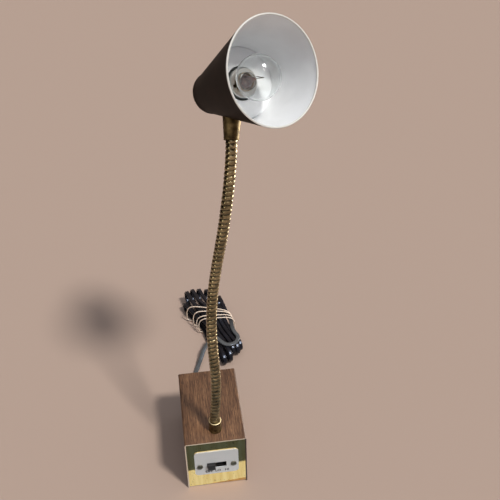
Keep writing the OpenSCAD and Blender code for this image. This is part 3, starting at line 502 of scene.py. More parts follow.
def hank_point(turns):
    """One point of the folded cord, in metres. turns counts loops from the right.

    Each loop goes away from the base on top, folds down, comes back below and folds up into the next lane.
    """
    loop = math.floor(turns)
    u = turns - loop
    below = u >= 0.5
    near, far = -NEAR_REACH[loop + 1 if below else loop], FAR_REACH[loop]
    if u < RUN:
        run = near + (far - near) * u / RUN
    elif not below:
        run = far
    elif u < 0.5 + RUN:
        run = far + (near - far) * (u - 0.5) / RUN
    else:
        run = near
    # Below, the cord moves over to the next lane. The stretches, in millimetres along the hank, over which
    # it does so and over which one table passes to the next are those of the CAD source
    lane = loop + (eased((34 - run) / 76) if below else 0)
    low = HANK_LOW + WAIST_LOW / (1 + ((run - WAIST_Y) / HANK_WAIST) ** 4)
    if run < 14:
        high = passing(NEAR_HIGH, WAIST_HIGH, lane, (run + 12) / 26)
    else:
        high = passing(WAIST_HIGH, FAR_HIGH, lane, (run - 14) / 34)
    if run < -11:
        x = passing(NEAR_X, WAIST_X, lane, (run + 52) / 40)
    else:
        x = passing(WAIST_X, FAR_X, lane, (run + 10) / 55)
    r, a = high / 2, math.pi * (u - RUN - (0.5 if below else 0)) / FOLD
    if u < RUN:
        y, z = run, low + high
    elif not below:
        y, z = run + r * math.sin(a), low + r + r * math.cos(a)
    elif u < 0.5 + RUN:
        y, z = run, low
    else:
        y, z = run - r * math.sin(a), low + r - r * math.cos(a)
    return (Matrix.Rotation(HANK_TURN, 3, "Z") @ Vector((x, y, z)) + HANK_AT) * MM


def cord_route(look):
    """The cord's whole centreline, from the rear panel to the plug."""
    steps = round((HANK_LAST - HANK_FIRST) * LOOP_RINGS)
    hank = [hank_point(HANK_FIRST + (HANK_LAST - HANK_FIRST) * i / steps) for i in range(steps + 1)]
    start = (hank[1] - hank[0]).normalized()
    end = (hank[-1] - hank[-2]).normalized()
    lead = [Vector(p) * MM for p in LEAD_ROUTE] + [hank[0] - 2 * look.width * start]
    tail = [hank[-1] + look.width * end] + [Vector(p) * MM for p in TAIL_ROUTE]
    return smooth_line(lead + hank + tail, look.step)


def cord_sides(line):
    """Unit vectors across the flat cord, level, of one sign all along, and evened out."""
    sides = []
    for i in range(len(line)):
        ahead = heading(line, i)
        flat = Vector((ahead.y, -ahead.x, 0))
        if flat.length > 0.25:
            side = flat.normalized()
        else:
            side = sides[-1].copy() if sides else RIGHT.copy()
        if sides and side.dot(sides[-1]) < 0:
            side.negate()
        sides.append(side)
    for _ in range(6):
        sides = [
            (sides[max(0, i - 1)] + 2 * sides[i] + sides[min(len(sides) - 1, i + 1)]).normalized()
            for i in range(len(sides))
        ]
    return sides


class LAMP_OT_cord(bpy.types.Operator):
    """Flat twin cord with its strain relief, elastic ties and plug"""

    bl_idname = "lamp.cord"
    bl_label = "Cord"

    def execute(self, context):
        look = context.scene.lamp_cord
        line = cord_route(look)
        black = self.vinyl("black vinyl moulding")
        relief = self.relief(black)
        ties = self.ties(look)
        plug = self.plug(black)
        cord = self.twin(look, line)
        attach(cord, "base")
        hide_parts("cord_lead", "cord_hank", "cord_tail")
        return {"FINISHED"}

    def vinyl(self, name, look=None):
        """Vinyl, moulded, or extruded and greyed by dust where the look of the cord is given."""
        # Vinyl: black with a cool soft gloss, dulled in patches by handling
        material, tree, shader = new_material(
            name, Roughness=0.3, IOR=1.5, Specular_IOR_Level=0.45, Specular_Tint=linear("C8D4EE")
        )
        place = object_place(tree)
        if look:
            grime = add(tree, "ShaderNodeTexNoise", {"Vector": place, "Scale": 0.12, "Detail": 4.0})
            # The stretch from the base to the first fold lay in the open and has greyed
            uv = add(tree, "ShaderNodeTexCoord").outputs["UV"]
            along = add(tree, "ShaderNodeSeparateXYZ", {"Vector": uv}).outputs["Y"]
            bundled = add(tree, "ShaderNodeMapRange", {"Value": along, "From Min": 0.092, "From Max": 0.108})
            dark, dusty = (
                add(
                    tree, "ShaderNodeValToRGB", {"Fac": grime},
                    stops=[(0.3, lit(color, deep)), (0.7, lit(color, pale))],
                )
                for color, deep, pale in ((look.dark, 0.6, 1.7), (look.dusty, 0.8, 1.3))
            )
            tone = add(tree, "ShaderNodeMix", {"Factor": bundled, "A": dusty, "B": dark}, data_type="RGBA")
        else:
            grime = add(tree, "ShaderNodeTexNoise", {"Vector": place, "Scale": 0.3, "Detail": 4.0})
            tone = add(tree, "ShaderNodeValToRGB", {"Fac": grime}, stops=[(0.3, "161618"), (0.7, "232426")])
        wire(shader, {"Base Color": tone})
        rough_and_bump(tree, shader, grime, 0.16, 0.34, 0.06 * MM)
        return material

    def twin(self, look, line):
        """Two round cores side by side under one jacket, swept along the route."""
        core = look.thickness / 2
        off = look.width / 2 - core
        half = [math.radians(v) for v in (-112, -75, -38, 0, 38, 75, 112)]
        outline = [(off + core * math.cos(a), core * math.sin(a)) for a in half]
        outline += [(-x, -y) for x, y in outline]
        sides = cord_sides(line)
        rings = []
        for i, middle in enumerate(line):
            ahead = heading(line, i)
            side = (sides[i] - ahead * sides[i].dot(ahead)).normalized()
            up = ahead.cross(side)
            rings.append([middle + side * x + up * y for x, y in outline])
        return finish_piece("twin_cord", tube(rings), [self.vinyl("greyed black vinyl cord", look)], sharp=80)

    def relief(self, material):
        """Tapered sleeve with moulded rings where the cord leaves the rear panel."""
        low, high = (Vector(v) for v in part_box("strain_relief"))
        middle, half = (low + high) / 2, (high - low) / 2
        head, first_groove, count = 0.18, 0.24, 44
        rings = []
        for j in range(count + 1):
            t = j / count
            size = 1.0 if t < head else 0.80 - 0.27 * (t - head) / (1 - head)
            if t >= first_groove and j % 4 >= 2:
                size *= 0.9
            place = Vector((middle.x, low.y + (high.y - low.y) * t, middle.z))
            rings.append([
                place + size * Vector((half.x * math.cos(a), 0, half.z * math.sin(a))) for a in angles(24)
            ])
        return finish_piece(
            "strain_relief_sleeve", tube(rings), [material], "base", ["strain_relief"]
        )

    def ties(self, look):
        """Four elastic bands stretched round the hank."""
        # Natural rubber bands: pale and dry, a little darker in patches
        material, tree, shader = new_material("pale rubber band", Roughness=0.7, IOR=1.5)
        cloud = add(tree, "ShaderNodeTexNoise", {"Vector": object_place(tree), "Scale": 0.5, "Detail": 3.0})
        tone = add(
            tree, "ShaderNodeValToRGB", {"Fac": cloud},
            stops=[(0.25, "D9B79A"), (0.5, "F0DCC8"), (0.75, "FDF2E6")],
        )
        wire(shader, {"Base Color": tone})
        rough_and_bump(tree, shader, cloud, 0.55, 0.75, 0.05 * MM)
        size = look.tie_size / MM
        # A band is a little flattened: thinner outwards than along the hank
        thin, broad = 0.48 * size, 0.56 * size
        turn = Matrix.Rotation(HANK_TURN, 3, "Z")
        bm = bmesh.new()
        for place, skew, shift, half, top in TIES:
            tilt = Matrix.Rotation(math.radians(skew), 3, "Z")
            points = []
            for a in angles(TIE_STEPS) + [0.0]:
                above = math.sin(a) > 0
                reach = top - TIE_MIDDLE if above else TIE_MIDDLE - TIE_LOW - size
                x, z = squarish(a, 0.45, 0.6 if above else 0.4)
                points.append(Vector((shift + (half + size / 2) * x, 0, TIE_MIDDLE + (reach + size / 2) * z)))
            rings = []
            for i, here in enumerate(points):
                ahead = (points[(i + 1) % TIE_STEPS] - points[(i - 1) % TIE_STEPS]).normalized()
                out = Vector((ahead.z, 0, -ahead.x))
                ring = [
                    here + out * thin * math.cos(b) + Vector((0, broad * math.sin(b), 0)) for b in angles(8)
                ]
                rings.append([(turn @ (tilt @ v + Vector((0, place, 0))) + HANK_AT) * MM for v in ring])
            rolled_grid(bm, rings)
        bmesh.ops.remove_doubles(bm, verts=bm.verts, dist=1e-5)
        bmesh.ops.recalc_face_normals(bm, faces=bm.faces)
        return finish_piece("elastic_ties", bm, [material], "base", ["cord_ties"], 80)

    def plug(self, material):
        """Moulded plug with rounded shoulders and grip ribs."""
        low, high = (Vector(v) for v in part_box("plug_body"))
        middle, half = (low + high) / 2, (high - low) / 2
        rings, count = [], 26
        for j in range(count + 1):
            t = j / count
            # It narrows a little toward the front and much toward the rear, with grooves in between
            size = min(1.0, 0.90 + 0.9 * t, 0.45 + 2.2 * (1 - t))
            if 0.25 < t < 0.72 and j % 3 == 0:
                size *= 0.93
            ring = []
            for a in angles(32):
                x, z = squarish(a, 0.5, 0.5)
                tall = (0.55 + 0.45 * size) * 0.998
                ring.append(middle + Vector((half.x * size * x, half.y * (2 * t - 1), half.z * tall * z)))
            rings.append(ring)
        return finish_piece("moulded_plug", tube(rings), [material], "base", ["plug_body"], 40)


# Neck


class LampNeckSettings(bpy.types.PropertyGroup):
    diameter: FloatProperty(
        name="Diameter", description="Outer diameter of the tube", default=9.66 * MM, unit="LENGTH"
    )
    groove: FloatProperty(
        name="Groove", description="Depth of the grooves", default=0.93 * MM, unit="LENGTH"
    )
    pitch: FloatProperty(
        name="Pitch", description="Distance from turn to turn", default=4.1 * MM, unit="LENGTH"
    )
    lead: FloatProperty(
        name="Lead", description="Radius of a lead in the tube", default=0.7 * MM, unit="LENGTH"
    )
    lead_gap: FloatProperty(
        name="Lead gap", description="From the tube's middle to a lead's", default=0.85 * MM, unit="LENGTH"
    )
    light: FloatVectorProperty(
        name="Worn brass", description="Colour of the winding where its lacquer is rubbed", subtype="COLOR",
        default=linear("B8AA86")[:3],
    )


FERRULE_BRASS = ("8F7F5C", "6E6043", "463B28")


def tube_radius():
    """Outer radius of the wound tube."""
    return bpy.context.scene.lamp_neck.diameter / 2


def aged_brass(name, light, middle, dark, wound=False, lip=None):
    """Antiqued brass: brown lacquer in random tones, painted shade in the grooves and a painted highlight
    above a lip.
    """
    material, tree, shader = new_material(name, Metallic=1.0, Roughness=0.3)
    cloud = add(tree, "ShaderNodeTexNoise", {"Vector": object_place(tree), "Scale": 0.16, "Detail": 4.0})
    tone = add(
        tree, "ShaderNodeValToRGB", {"Fac": cloud}, stops=[(0.34, dark), (0.5, middle), (0.66, light)]
    )
    if wound:
        # Low on each turn the colour goes to dark brown: painted shade in the grooves
        crest = add(tree, "ShaderNodeAttribute", attribute_name="crest").outputs["Fac"]
        rise = add(tree, "ShaderNodeMapRange", {"Value": crest, "From Min": 0.25, "From Max": 0.85})
        groove = linear("2E2415")
        tone = add(tree, "ShaderNodeMix", {"Factor": rise, "A": groove, "B": tone}, data_type="RGBA")
    if lip:
        height = add(tree, "ShaderNodeSeparateXYZ", {"Vector": object_place(tree)}).outputs["Z"]
        above = add(tree, "ShaderNodeMath", {0: height, 1: lip / MM}, operation="GREATER_THAN")
        # The lip's crown is painted pale: a painted highlight on the rolled edge
        paler = linear("DCCFA8")
        tone = add(tree, "ShaderNodeMix", {"Factor": above, "A": tone, "B": paler}, data_type="RGBA")
    wire(shader, {"Base Color": tone})
    low = 0.22 if wound else 0.46
    rough_and_bump(tree, shader, cloud, low, low + 0.14, 0.02 * MM)
    return material


class LAMP_OT_neck(bpy.types.Operator):
    """Wound flexible tube with the leads inside, one length across each bend, and its two ferrules"""

    bl_idname = "lamp.neck"
    bl_label = "Neck"

    def execute(self, context):
        look = context.scene.lamp_neck
        shine = [lit(look.light, factor) for factor in (1.0, 0.68, 0.38)]
        brass = aged_brass("antiqued brass winding", *shine, wound=True)
        # Insulated wire: black and half glossy, hardly seen
        insulation = moulding("black insulated wire", "202023", 0.4, 0.8)
        in_collar = head_frame() @ Vector((0, 0, 10 * MM))
        in_cup = Vector((BENDS[0].x, BENDS[0].y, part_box("neck_foot")[0][2] + 0.5 * MM))
        knots = [in_cup] + BENDS + [in_collar]
        line = smooth_line(knots, 0.5 * MM)
        for k in range(len(BENDS)):
            self.length(look, [brass, insulation], line, knots, k)
        self.cup()
        self.collar()
        return {"FINISHED"}

    def length(self, look, materials, line, knots, k):
        """The stretch of tube and leads across one bend, between the middles of its two links."""
        start = knots[0] if k == 0 else (knots[k] + knots[k + 1]) / 2
        end = knots[-1] if k == len(BENDS) - 1 else (knots[k + 1] + knots[k + 2]) / 2
        first, stop = (
            min(range(len(line)), key=lambda i: (line[i] - goal).length) for goal in (start, end)
        )
        bm = bmesh.new()
        self.winding(bm, look, line, first, stop)
        count = len(bm.faces)
        self.leads(bm, look, line, first, stop)
        close_ends(bm)
        bm.faces.ensure_lookup_table()
        for face in bm.faces[count:]:
            face.material_index = 1
        below, above = BODIES[k], BODIES[k + 1]
        piece = finish_piece(f"winding_{k + 1:02d}", bm, materials, sharp=70)
        nodes = [f"neck_link_{k:02d}" if k else "neck_foot"]
        if above == "head":
            nodes.append("neck_tip")
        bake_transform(piece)
        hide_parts(*nodes, "neck_leads")

    def winding(self, bm, look, line, first, stop):
        """The tube's wall: one helical rib outside, a plain bore inside, with its height as an attribute."""
        step = (line[1] - line[0]).length
        bore = look.diameter / 2 - look.groove - 0.6 * MM
        around, rib_power, bore_every = 28, 2.3, 4
        rings, walls, crests = [], [], []
        for i in range(first, stop + 1):
            side, back = square_to(line, i)
            outs = [side * math.cos(a) + back * math.sin(a) for a in angles(around)]
            phases = [(i * step / look.pitch - j / around) % 1.0 for j in range(around)]
            rises = [math.sqrt(max(0.0, 1 - abs(2 * phase - 1) ** rib_power)) for phase in phases]
            radii = [look.diameter / 2 - look.groove * (1 - rise) for rise in rises]
            rings.append([line[i] + radius * out for radius, out in zip(radii, outs)])
            crests.append(rises)
            if i in (first, stop) or (i - first) % bore_every == 0:
                walls.append([line[i] + bore * out for out in outs])
        # The wall is closed: along the ribs, back through the bore, and round to its first ring
        rings += walls[::-1] + rings[:1]
        crests += [[0.0] * around] * len(walls) + crests[:1]
        rolled_grid(bm, rings, crests)

    def leads(self, bm, look, line, first, stop):
        """This stretch of the two leads inside the tube, on into the base and the head at its ends."""
        low, high = (Vector(v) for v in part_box("neck_leads"))
        run = [line[i] for i in [*range(first, stop, 6), stop]]
        if first == 0:
            run.insert(0, Vector((line[0].x, line[0].y, low.z)))
        if stop == len(line) - 1:
            up = head_frame().to_3x3() @ UP
            run.append(BENDS[-1] + up * ((high.z - look.lead * up.y - BENDS[-1].z) / up.z))
        for place in (-look.lead_gap, look.lead_gap):
            rings = []
            for i, middle in enumerate(run):
                side, back = square_to(run, i)
                rings.append([
                    middle + side * (place + look.lead * math.cos(a)) + back * look.lead * math.sin(a)
                    for a in angles(8)
                ])
            rolled_grid(bm, rings)

    def cup(self):
        """Lower cup on the base, with a painted highlight on its rolled lip."""
        low, high = (Vector(v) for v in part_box("base_ferrule"))
        # Above the lip's crown the brass is painted pale: a painted highlight
        paler = aged_brass("antiqued brass cup", *FERRULE_BRASS, lip=high.z - 0.22 * MM)
        r, tall = (high.x - low.x) / 2, high.z - low.z
        lip, bore, inset = 0.5 * MM, tube_radius() + 0.12 * MM, 0.3 * MM
        profile = [(bore, 2 * MM), (bore, tall - lip)]
        profile += [
            (bore + lip * (1 - math.cos(a)), tall - lip + lip * math.sin(a)) for a in (0.5, 1.1, 1.57)
        ]
        profile += [
            (r - lip + lip * math.sin(a), tall - lip + lip * math.cos(a)) for a in (0.0, 0.6, 1.2, 1.57)
        ]
        profile += [(r, tall - 1.6 * MM), (r - inset, tall - 2.0 * MM), (r - inset, 1.0 * MM)]
        profile += [(r, 0.5 * MM), (r, 0.0), (bore, 0.0)]
        bm = spun(profile, 64, Matrix.Translation(((low.x + high.x) / 2, (low.y + high.y) / 2, low.z)))
        finish_piece("base_cup", bm, [paler], "base", ["base_ferrule"], 40)

    def collar(self):
        """Tapered collar with a lip, whose upper end follows the shade's cone."""
        shade, head = bpy.context.scene.lamp_shade, head_frame()
        narrow, wide, foot = 6.1 * MM, 7.5 * MM, 9.4 * MM
        bore, bore_depth = tube_radius() + 0.1 * MM, 5 * MM
        lip, lip_at, lip_half = 0.22 * MM, 0.06, 0.05
        sink, count = 0.4 * MM, 16
        circle = [(math.cos(a), math.sin(a)) for a in angles(64)]
        rings = [
            [head @ Vector((bore * c, bore * s, height)) for c, s in circle]
            for height in (foot + bore_depth, foot)
        ]
        for j in range(count + 1):
            t = j / count
            r = narrow + (wide - narrow) * t + lip * max(0, 1 - abs(t - lip_at) / lip_half)
            ring = []
            for x, y in ((r * c, r * s) for c, s in circle):
                reach = math.sqrt(max(1e-9, cone_radius(shade, -y) ** 2 - x * x))
                top = shade.axis_height - reach + sink
                ring.append(head @ Vector((x, y, foot + (top - foot) * t)))
            rings.append(ring)
        satin = aged_brass("antiqued brass ferrule", *FERRULE_BRASS)
        finish_piece("shade_collar", tube(rings), [satin], "head", ["shade_ferrule"], 50)


# Shade


class LampShadeSettings(bpy.types.PropertyGroup):
    lean_back: FloatProperty(
        name="Lean back", description="Lean of the collar to the rear",
        default=math.radians(35.6), subtype="ANGLE",
    )
    lean_side: FloatProperty(
        name="Lean right", description="Lean of the collar to the right",
        default=math.radians(7.5), subtype="ANGLE",
    )
    turn: FloatProperty(
        name="Turn", description="Turn of the shade about the collar",
        default=math.radians(18.6), subtype="ANGLE",
    )
    axis_height: FloatProperty(
        name="Axis height", description="Shade's axis above the last bend", default=52 * MM, unit="LENGTH"
    )
    mouth_radius: FloatProperty(
        name="Mouth radius", description="Radius at the mouth", default=40.6 * MM, unit="LENGTH"
    )
    mouth_length: FloatProperty(
        name="Mouth length", description="From the collar's axis to the mouth",
        default=66.2 * MM, unit="LENGTH",
    )
    back_radius: FloatProperty(
        name="Back radius", description="Radius where the back rounds off", default=17.6 * MM, unit="LENGTH"
    )
    back_length: FloatProperty(
        name="Back length", description="From the collar's axis to the back",
        default=33.5 * MM, unit="LENGTH",
    )
    dome: FloatProperty(name="Dome", description="Length of the rounded back", default=8 * MM, unit="LENGTH")
    wall: FloatProperty(name="Wall", description="Thickness of the sheet", default=0.9 * MM, unit="LENGTH")
    mouth_down: FloatProperty(
        name="Cut down", description="Lean of the mouth's cut to the neck",
        default=math.radians(3.5), subtype="ANGLE",
    )
    mouth_side: FloatProperty(
        name="Cut right", description="Lean of the mouth's cut to the right",
        default=math.radians(5), subtype="ANGLE",
    )
    bead: FloatProperty(name="Bead", description="Radius of the rolled rim", default=0.75 * MM, unit="LENGTH")
    outside: FloatVectorProperty(
        name="Outside", description="Paint outside", subtype="COLOR", default=linear("1E130E")[:3]
    )
    inside: FloatVectorProperty(
        name="Inside", description="Paint inside", subtype="COLOR", default=linear("F5F7F9")[:3]
    )


def head_frame():
    """Places the collar's frame: on the last bend, Z along the collar, mouth toward -Y."""
    look = bpy.context.scene.lamp_shade
    turn = Matrix.Rotation(look.lean_side, 4, "Y") @ Matrix.Rotation(-look.lean_back, 4, "X")
    return Matrix.Translation(BENDS[-1]) @ turn @ Matrix.Rotation(look.turn, 4, "Z")


def shade_frame():
    """Places the shade's frame: on its axis above the collar, Z toward the mouth."""
    look = bpy.context.scene.lamp_shade
    return head_frame() @ Matrix.Translation((0, 0, look.axis_height)) @ Matrix.Rotation(QUARTER, 4, "X")


def cone_radius(look, along):
    """Outer radius of the shade's cone at a place along its axis."""
    slope = (look.mouth_radius - look.back_radius) / (look.mouth_length + look.back_length)
    return look.back_radius + slope * (along + look.back_length)


def cut_normal(look):
    """Normal of the mouth's oblique cut, in the shade's frame."""
    return Matrix.Rotation(look.mouth_down, 3, "X") @ Matrix.Rotation(look.mouth_side, 3, "Y") @ UP


class LAMP_OT_shade(bpy.types.Operator):
    """Spun shade with its rolled rim, its enamelled inside and its inner disc"""

    bl_idname = "lamp.shade"
    bl_label = "Shade"

    def execute(self, context):
        look = context.scene.lamp_shade
        outside, inside = self.brown_enamel(look), self.white_enamel(look)
        self.shell(look, [outside, inside])
        # Enamel on the rolled edge: cream, half glossy
        self.rim(look, moulding("cream enamelled rim", "DCDBD6", 0.5, 0.8))
        self.disc(look, inside)
        return {"FINISHED"}

    def shell(self, look, materials):
        """Cone with a rounded back, cut obliquely at the mouth and given its wall."""
        dome_steps, cone_steps, roundness = 10, 12, 0.55
        # The cone is spun past the mouth and then cut, just inside the rim's bead
        spare, inset, edge = 8 * MM, 0.3 * MM, 0.2 * MM
        profile = [(0.0, -look.back_length - look.dome)]
        for i in range(1, dome_steps + 1):
            a = QUARTER - QUARTER * i / dome_steps
            radius, height = math.cos(a) ** roundness, math.sin(a) ** roundness
            profile.append((look.back_radius * radius, -look.back_length - look.dome * height))
        for i in range(1, cone_steps + 1):
            along = -look.back_length + (look.mouth_length + spare + look.back_length) * i / cone_steps
            profile.append((cone_radius(look, along), along))
        bm = spun(profile, 128, closed=False)
        normal, cut_at = cut_normal(look), Vector((0, 0, look.mouth_length - inset))
        bmesh.ops.bisect_plane(
            bm, geom=bm.verts[:] + bm.edges[:] + bm.faces[:], dist=1e-7,
            plane_co=cut_at, plane_no=normal, clear_outer=True,
        )
        bmesh.ops.recalc_face_normals(bm, faces=bm.faces)
        if sum(self.outward(face) for face in bm.faces) < 0:
            bmesh.ops.reverse_faces(bm, faces=bm.faces)
        bmesh.ops.solidify(bm, geom=bm.faces[:], thickness=look.wall)
        for face in bm.faces:
            here = face.calc_center_median()
            on_cone = math.hypot(here.x, here.y) > cone_radius(look, here.z) - look.wall / 2
            on_back = here.z < -look.back_length - 0.2 * look.dome
            on_cut = (here - cut_at).dot(normal) > -edge
            dark = (on_cone or on_back) and self.outward(face) > 0 and not on_cut
            face.material_index = 0 if dark else 1
        bmesh.ops.transform(bm, matrix=shade_frame(), verts=bm.verts)
        in_order(bm)
        finish_piece("spun_shade", bm, materials, "head", ["shade_shell"], 40)

    def outward(self, face):
        """How far a face looks away from the axis."""
        here = face.calc_center_median()
        return face.normal.dot(Vector((here.x, here.y, 0)))

    def rim(self, look, enamel):
        """A bead rolled outwards along the oblique cut."""
        normal, place, count = cut_normal(look), shade_frame(), 160
        rings = []
        for a in angles(count) + [0.0]:
            flat = Vector((math.cos(a), math.sin(a), 0))
            along = look.mouth_length
            # The cut's place and the cone's radius there depend on each other; a few rounds settle them
            for _ in range(12):
                r = cone_radius(look, along)
                along = look.mouth_length - (normal.x * flat.x + normal.y * flat.y) * r / normal.z
            middle = flat * (cone_radius(look, along) - look.bead) + UP * (along - look.bead * 0.6)
            rings.append([
                place @ (middle + look.bead * (flat * math.cos(b) + UP * math.sin(b))) for b in angles(12)
            ])
        bm = bmesh.new()
        rolled_grid(bm, rings)
        bmesh.ops.recalc_face_normals(bm, faces=bm.faces)
        finish_piece("rolled_rim", bm, [enamel], "head", sharp=80)

    def disc(self, look, enamel):
        """Pressed disc with a rolled hole edge and a skirt against the cone."""
        at = look.mouth_length - 50 * MM
        hole, hole_depth, skirt, sheet, play = 13.3 * MM, 1.6 * MM, 5 * MM, 0.8 * MM, 0.05 * MM
        outer, low = (cone_radius(look, place) - look.wall - play for place in (at, at - skirt))
        profile = [
            (hole, at - hole_depth), (hole, at - 0.5 * MM), (hole + 0.15 * MM, at - 0.15 * MM),
            (hole + 0.5 * MM, at), (outer - 1.6 * MM, at), (outer - 0.6 * MM, at - 0.25 * MM),
            (outer - 0.1 * MM, at - 1.0 * MM), (low, at - skirt), (low - sheet, at - skirt),
            (outer - sheet - 0.4 * MM, at - sheet - 0.6 * MM), (hole + sheet, at - sheet),
            (hole + sheet * 0.8, at - hole_depth),
        ]
        bm = spun(profile, 128, shade_frame())
        finish_piece("pressed_disc", bm, [enamel], "head", ["inner_disc"], 50)

    def brown_enamel(self, look):
        # Stoved enamel on spun aluminium: nearly black brown, fine orange peel, rubbed warm in broad patches
        material, tree, shader = new_material(
            "dark brown stove enamel", Roughness=0.55, IOR=1.5, Specular_IOR_Level=0.05
        )
        place = object_place(tree)
        cloud = add(tree, "ShaderNodeTexNoise", {"Vector": place, "Scale": 0.05, "Detail": 5.0})
        grit = add(tree, "ShaderNodeTexNoise", {"Vector": place, "Scale": 1.6, "Detail": 3.0})
        paint = look.outside
        stops = [(0.35, lit(paint, 0.7)), (0.55, lit(paint, 1.0)), (0.7, lit(paint, 1.6))]
        wire(shader, {"Base Color": add(tree, "ShaderNodeValToRGB", {"Fac": cloud}, stops)})
        rough_and_bump(tree, shader, grit, 0.48, 0.62, 0.05 * MM)
        return material

    def white_enamel(self, look):
        # White stove enamel inside: satin, faint orange peel, and broad patches a little greyer
        material, tree, shader = new_material("white stove enamel", Roughness=0.45, IOR=1.5)
        place = object_place(tree)
        cloud = add(tree, "ShaderNodeTexNoise", {"Vector": place, "Scale": 0.04, "Detail": 4.0})
        peel = add(tree, "ShaderNodeTexNoise", {"Vector": place, "Scale": 0.9, "Detail": 2.0})
        stops = [(0.35, lit(look.inside, 0.93)), (0.6, lit(look.inside, 1.0))]
        wire(shader, {"Base Color": add(tree, "ShaderNodeValToRGB", {"Fac": cloud}, stops)})
        rough_and_bump(tree, shader, peel, 0.38, 0.52, 0.04 * MM)
        return material


# Bulb and socket


class LampBulbSettings(bpy.types.PropertyGroup):
    globe: FloatProperty(name="Globe", description="Radius of the globe", default=17.4 * MM, unit="LENGTH")
    depth: FloatProperty(
        name="Depth", description="From the mouth to the globe's middle", default=24 * MM, unit="LENGTH"
    )
    glass: FloatProperty(name="Glass", description="Wall of the globe", default=0.5 * MM, unit="LENGTH")
    neck: FloatProperty(
        name="Neck", description="Radius of the glass at the cap", default=6.85 * MM, unit="LENGTH"
    )


class LAMP_OT_bulb(bpy.types.Operator):
    """Clear globe bulb with its cap, stem, wires and the socket round them"""

    bl_idname = "lamp.bulb"
    bl_label = "Bulb and socket"

    def execute(self, context):
        self.globe(context.scene.lamp_bulb, context.scene.lamp_shade)
        paint_nodes(self.stem_glass(), "bulb_stem")
        # Nickel wire: dark grey, drawn smooth
        paint_nodes(plain_metal("drawn nickel wire", "6A6866", 0.4, 1.2), "bulb_filament")
        # Stamped brass: brown with age, satin
        paint_nodes(plain_metal("stamped brass cap", "A08458", 0.34, 0.6), "bulb_cap")
        # Nickel plating: pale grey, satin
        paint_nodes(plain_metal("nickelled socket steel", "B9BBB9", 0.36, 0.5), "socket_shell")
        # Black glass bead: black and glossy
        paint_nodes(moulding("black glass insulator", "19191C", 0.2, 1.2), "bulb_contact")
        # Phenolic board: red brown, half glossy
        paint_nodes(moulding("brown phenolic insulator", "4A2A1A", 0.45, 0.8), "socket_insulator")
        # Galvanised steel: cool grey, satin
        bracket = plain_metal("galvanised bracket steel", "8E9093", 0.45, 0.4)
        paint_nodes(bracket, "socket_bracket", "saddle_washer")
        return {"FINISHED"}

    def globe(self, look, shade):
        """Blown wall from the cap up round the globe and back inside."""
        at = shade.mouth_length - look.depth
        end = at - look.globe - 15.8 * MM
        inner, inner_neck = look.globe - look.glass, look.neck - look.glass
        profile = [(look.neck, end)] + self.arc(look.globe, look.neck, at)
        profile += self.arc(inner, inner_neck, at)[::-1] + [(inner_neck, end)]
        bm = spun(profile, 96, shade_frame())
        bmesh.ops.delete(bm, geom=[edge for edge in bm.edges if not edge.link_faces], context="EDGES")
        # Soda-lime bulb glass: thin, clear, with a faint haze from handling
        material, tree, shader = new_material(
            "blown clear glass", Roughness=0.0, IOR=1.5, Transmission_Weight=1.0, Base_Color=linear("F8FAFA")
        )
        haze = add(tree, "ShaderNodeTexNoise", {"Vector": object_place(tree), "Scale": 0.15, "Detail": 2.0})
        spread = add(tree, "ShaderNodeMapRange", {"Value": haze, "To Min": 0.0, "To Max": 0.03})
        wire(shader, {"Roughness": spread})
        finish_piece("blown_globe", bm, [material], "head", ["bulb_glass"], 60)

    def arc(self, radius, neck, middle):
        """Profile points from a globe's neck round to its pole."""
        low, steps = math.asin(neck / radius) - QUARTER, 28
        turns = [low + (QUARTER - low) * i / steps for i in range(steps)]
        points = [(radius * math.cos(a), middle + radius * math.sin(a)) for a in turns]
        return points + [(0.0, middle + radius)]

    def stem_glass(self):
        # Flared glass stem, brown in random tones
        material, tree, shader = new_material("brown stem glass", Roughness=0.15, IOR=1.5)
        cloud = add(tree, "ShaderNodeTexNoise", {"Vector": object_place(tree), "Scale": 0.35, "Detail": 4.0})
        tone = add(
            tree, "ShaderNodeValToRGB", {"Fac": cloud},
            stops=[(0.35, "463230"), (0.55, "6E504D"), (0.7, "957A74")],
        )
        wire(shader, {"Base Color": tone})
        rough_and_bump(tree, shader, cloud, 0.1, 0.3, 0.2 * MM)
        return material


# Base and switch


class LampBaseSettings(bpy.types.PropertyGroup):
    light_wood: FloatVectorProperty(
        name="Light grain", description="Lighter grain of the film", subtype="COLOR",
        default=linear("886447")[:3],
    )
    dark_wood: FloatVectorProperty(
        name="Dark grain", description="Darker grain of the film", subtype="COLOR",
        default=linear("4D3423")[:3],
    )
    letter_height: FloatProperty(
        name="Letters", description="Height of the switch's letters", default=3.2 * MM, unit="LENGTH"
    )
    letter_line: FloatProperty(
        name="Letter line", description="Height of the letters above the table",
        default=21.4 * MM, unit="LENGTH",
    )
    first: StringProperty(name="Rest", description="Word at the switch's left stop", default="OFF")


